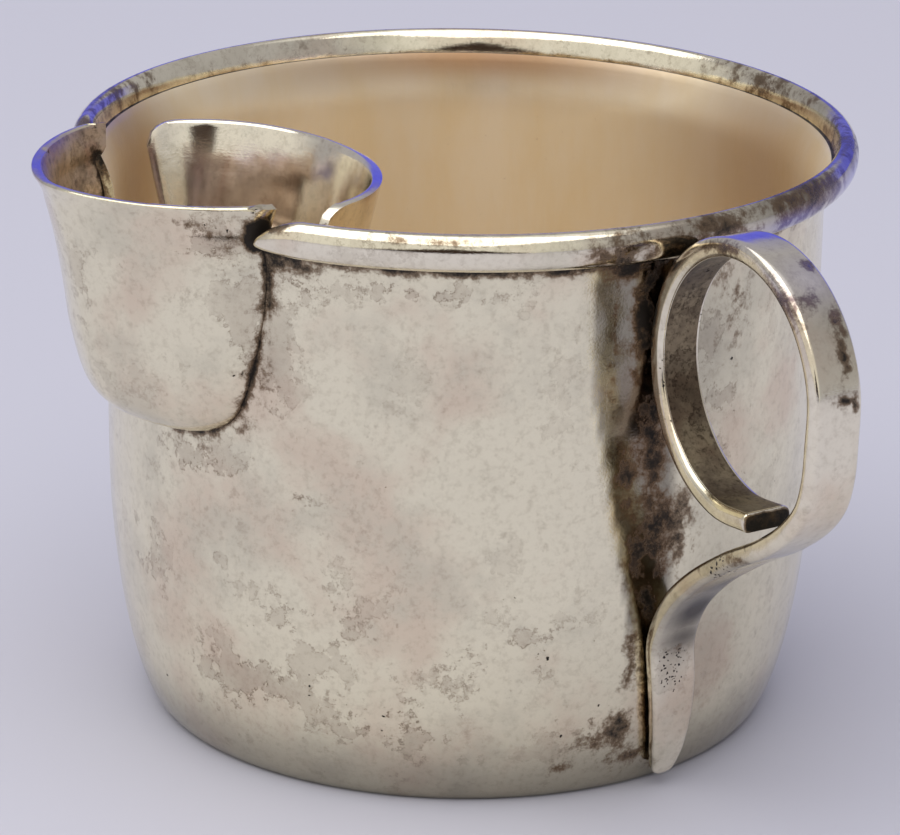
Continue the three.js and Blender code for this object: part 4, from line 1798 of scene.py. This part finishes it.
@dataclass
class Stage:
    """The pale floor, the soft lights and the camera."""

    eye: Triple = (390.33, -250.0, 189.43)
    sight: Triple = (-0.79693, 0.50770, -0.32731)
    roll: float = 0.014004
    focal_pixels: float = 4811.9
    image_width: int = 900
    floor_colour: str = "#C9C9D7"
    floor_size: float = 6000.0
    dome_colour: str = "#ADACB1"
    front_colour: str = "#E2E0DC"
    roof_colour: str = "#F4F4F6"
    horizon_colour: str = "#7577E0"
    horizon_towards: Triple = (-0.731, 0.682, 0.0)
    front_towards: Triple = (0.47, -0.82, 0.33)
    shade_towards: Triple = (0.799, -0.602, 0.0)
    shade_across: Triple = (0.602, 0.799, 0.0)
    shade_taper: float = 0.85
    shade_colour: str = "#332620"
    panel_place: Triple = (120.0, -330.0, 985.0)
    panel_target: Triple = (0.0, 0.0, 40.0)
    panel_size: tuple[float, float] = (1650.0, 1150.0)
    panel_watts: float = 7.9
    panel_colour: str = "#FFFEFB"

    def build(self) -> None:
        """Sets the floor, the world, the lights and the camera."""
        self.lay_floor()
        self.light()
        self.place_camera()

    def lay_floor(self) -> None:
        """Lays the floor under the cup."""
        deselect_all()
        bpy.ops.mesh.primitive_plane_add(size=self.floor_size * MM)
        floor = bpy.context.active_object
        floor.name = "floor"
        material = start_material("pale_studio_board")
        tree = material.node_tree
        board = {"Base Color": linear(self.floor_colour), "Roughness": 0.75}
        shader = add_node(tree, "BsdfPrincipled", board)
        add_node(tree, "OutputMaterial", {"Surface": shader})
        floor.data.materials.append(material)

    def light(self) -> None:
        """Lights the cup from a dim dome and from one wide soft panel overhead."""
        world = bpy.data.worlds.new("studio")
        bpy.context.scene.world = world
        world.use_nodes = True
        tree = world.node_tree
        tree.nodes.clear()
        light = add_node(tree, "Background", {"Color": self.dome(tree), "Strength": 1.0})
        add_node(tree, "OutputWorld", {"Surface": light})
        self.hang_panel()

    def dome(self, tree: Tree) -> Socket:
        """Colours the dome: pale overhead and in front, blue low behind, and dark towards the camera.

        Args:
            tree: The world's node tree.

        Returns:
            The dome's colour in each direction.
        """
        sky = add_node(tree, "TexCoord", out="Generated")
        height = add_node(tree, "SeparateXYZ", {"Vector": sky}, out="Z")
        faced = {}
        for towards in (self.horizon_towards, self.front_towards, self.shade_across, self.shade_towards):
            along = {0: sky, 1: towards}
            faced[towards] = add_node(
                tree, "VectorMath", along, out="Value", operation="DOT_PRODUCT"
            )
        aside = add_node(tree, "Math", {0: faced[self.shade_across]}, operation="ABSOLUTE")
        tapered = {0: aside, 1: self.shade_taper, 2: height}
        slope = add_node(tree, "Math", tapered, operation="MULTIPLY_ADD")
        limits = (
            (height, 0.8, 0.93),
            (height, 0.4, 0.3),
            (faced[self.horizon_towards], 0.7, 0.9),
            (faced[self.front_towards], 0.3, 0.75),
            (slope, 0.345, 0.285),
            (faced[self.shade_towards], 0.86, 0.92),
        )
        zones = []
        for value, start, full in limits:
            span = {"Value": value, "From Min": start, "From Max": full}
            zones.append(add_node(tree, "MapRange", span, **SMOOTH))
        overhead, low, behind, ahead, under, near = zones
        blue = add_node(tree, "Math", {0: low, 1: behind}, operation="MULTIPLY")
        shade = add_node(tree, "Math", {0: under, 1: near}, operation="MULTIPLY")
        tints = (
            (overhead, self.roof_colour),
            (blue, self.horizon_colour),
            (ahead, self.front_colour),
            (shade, self.shade_colour),
        )
        colour = linear(self.dome_colour)
        for amount, tint in tints:
            mixed = {MIX_FACTOR: amount, MIX_A: colour, MIX_B: linear(tint)}
            colour = add_node(tree, "Mix", mixed, **COLOURS)
        return colour

    def hang_panel(self) -> None:
        """Hangs the soft panel light over the cup."""
        lamp = bpy.data.lights.new("overhead_panel", "AREA")
        lamp.shape = "RECTANGLE"
        lamp.size, lamp.size_y = self.panel_size[0] * MM, self.panel_size[1] * MM
        lamp.energy = self.panel_watts
        lamp.color = linear(self.panel_colour)[:3]
        panel = bpy.data.objects.new("overhead_panel", lamp)
        bpy.context.collection.objects.link(panel)
        place, target = Vector(self.panel_place), Vector(self.panel_target)
        panel.location = place * MM
        panel.rotation_euler = (target - place).to_track_quat("-Z", "Y").to_euler()

    def place_camera(self) -> None:
        """Places the camera where the photograph was taken from."""
        sight = Vector(self.sight).normalized()
        level = sight.cross(Vector((0, 0, 1))).normalized()
        upright = level.cross(sight)
        right = level * math.cos(self.roll) + upright * math.sin(self.roll)
        up = upright * math.cos(self.roll) - level * math.sin(self.roll)
        lens = bpy.data.cameras.new("camera")
        lens.sensor_fit = "HORIZONTAL"
        lens.sensor_width = 36.0
        lens.lens = self.focal_pixels / self.image_width * lens.sensor_width
        lens.clip_start = 0.01
        camera = bpy.data.objects.new("camera", lens)
        bpy.context.collection.objects.link(camera)
        turn = Matrix((right, up, -sight)).transposed().to_4x4()
        camera.matrix_world = Matrix.Translation(Vector(self.eye) * MM) @ turn
        bpy.context.scene.camera = camera


def main() -> None:
    """Builds the cup's pieces in order, dresses them and sets the stage."""
    logging.basicConfig(level=logging.INFO, format="%(message)s")
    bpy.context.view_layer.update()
    parts = (CupBody(), RimWire(), Spout(), GuardPlate(), StrapHandle())
    pieces = [part.build() for part in parts]
    mark_nearness(pieces, WallForm())
    materials = {finish: finish.build() for finish in FINISHES}
    for part, piece in zip(parts, pieces):
        part.dress(piece, [materials[finish] for finish in part.finishes])
        LOG.info("%s: %d faces", piece.name, len(piece.data.polygons))
    Stage().build()
    bpy.context.scene.view_settings.view_transform = "Standard"


if __name__ == "__main__":
    main()
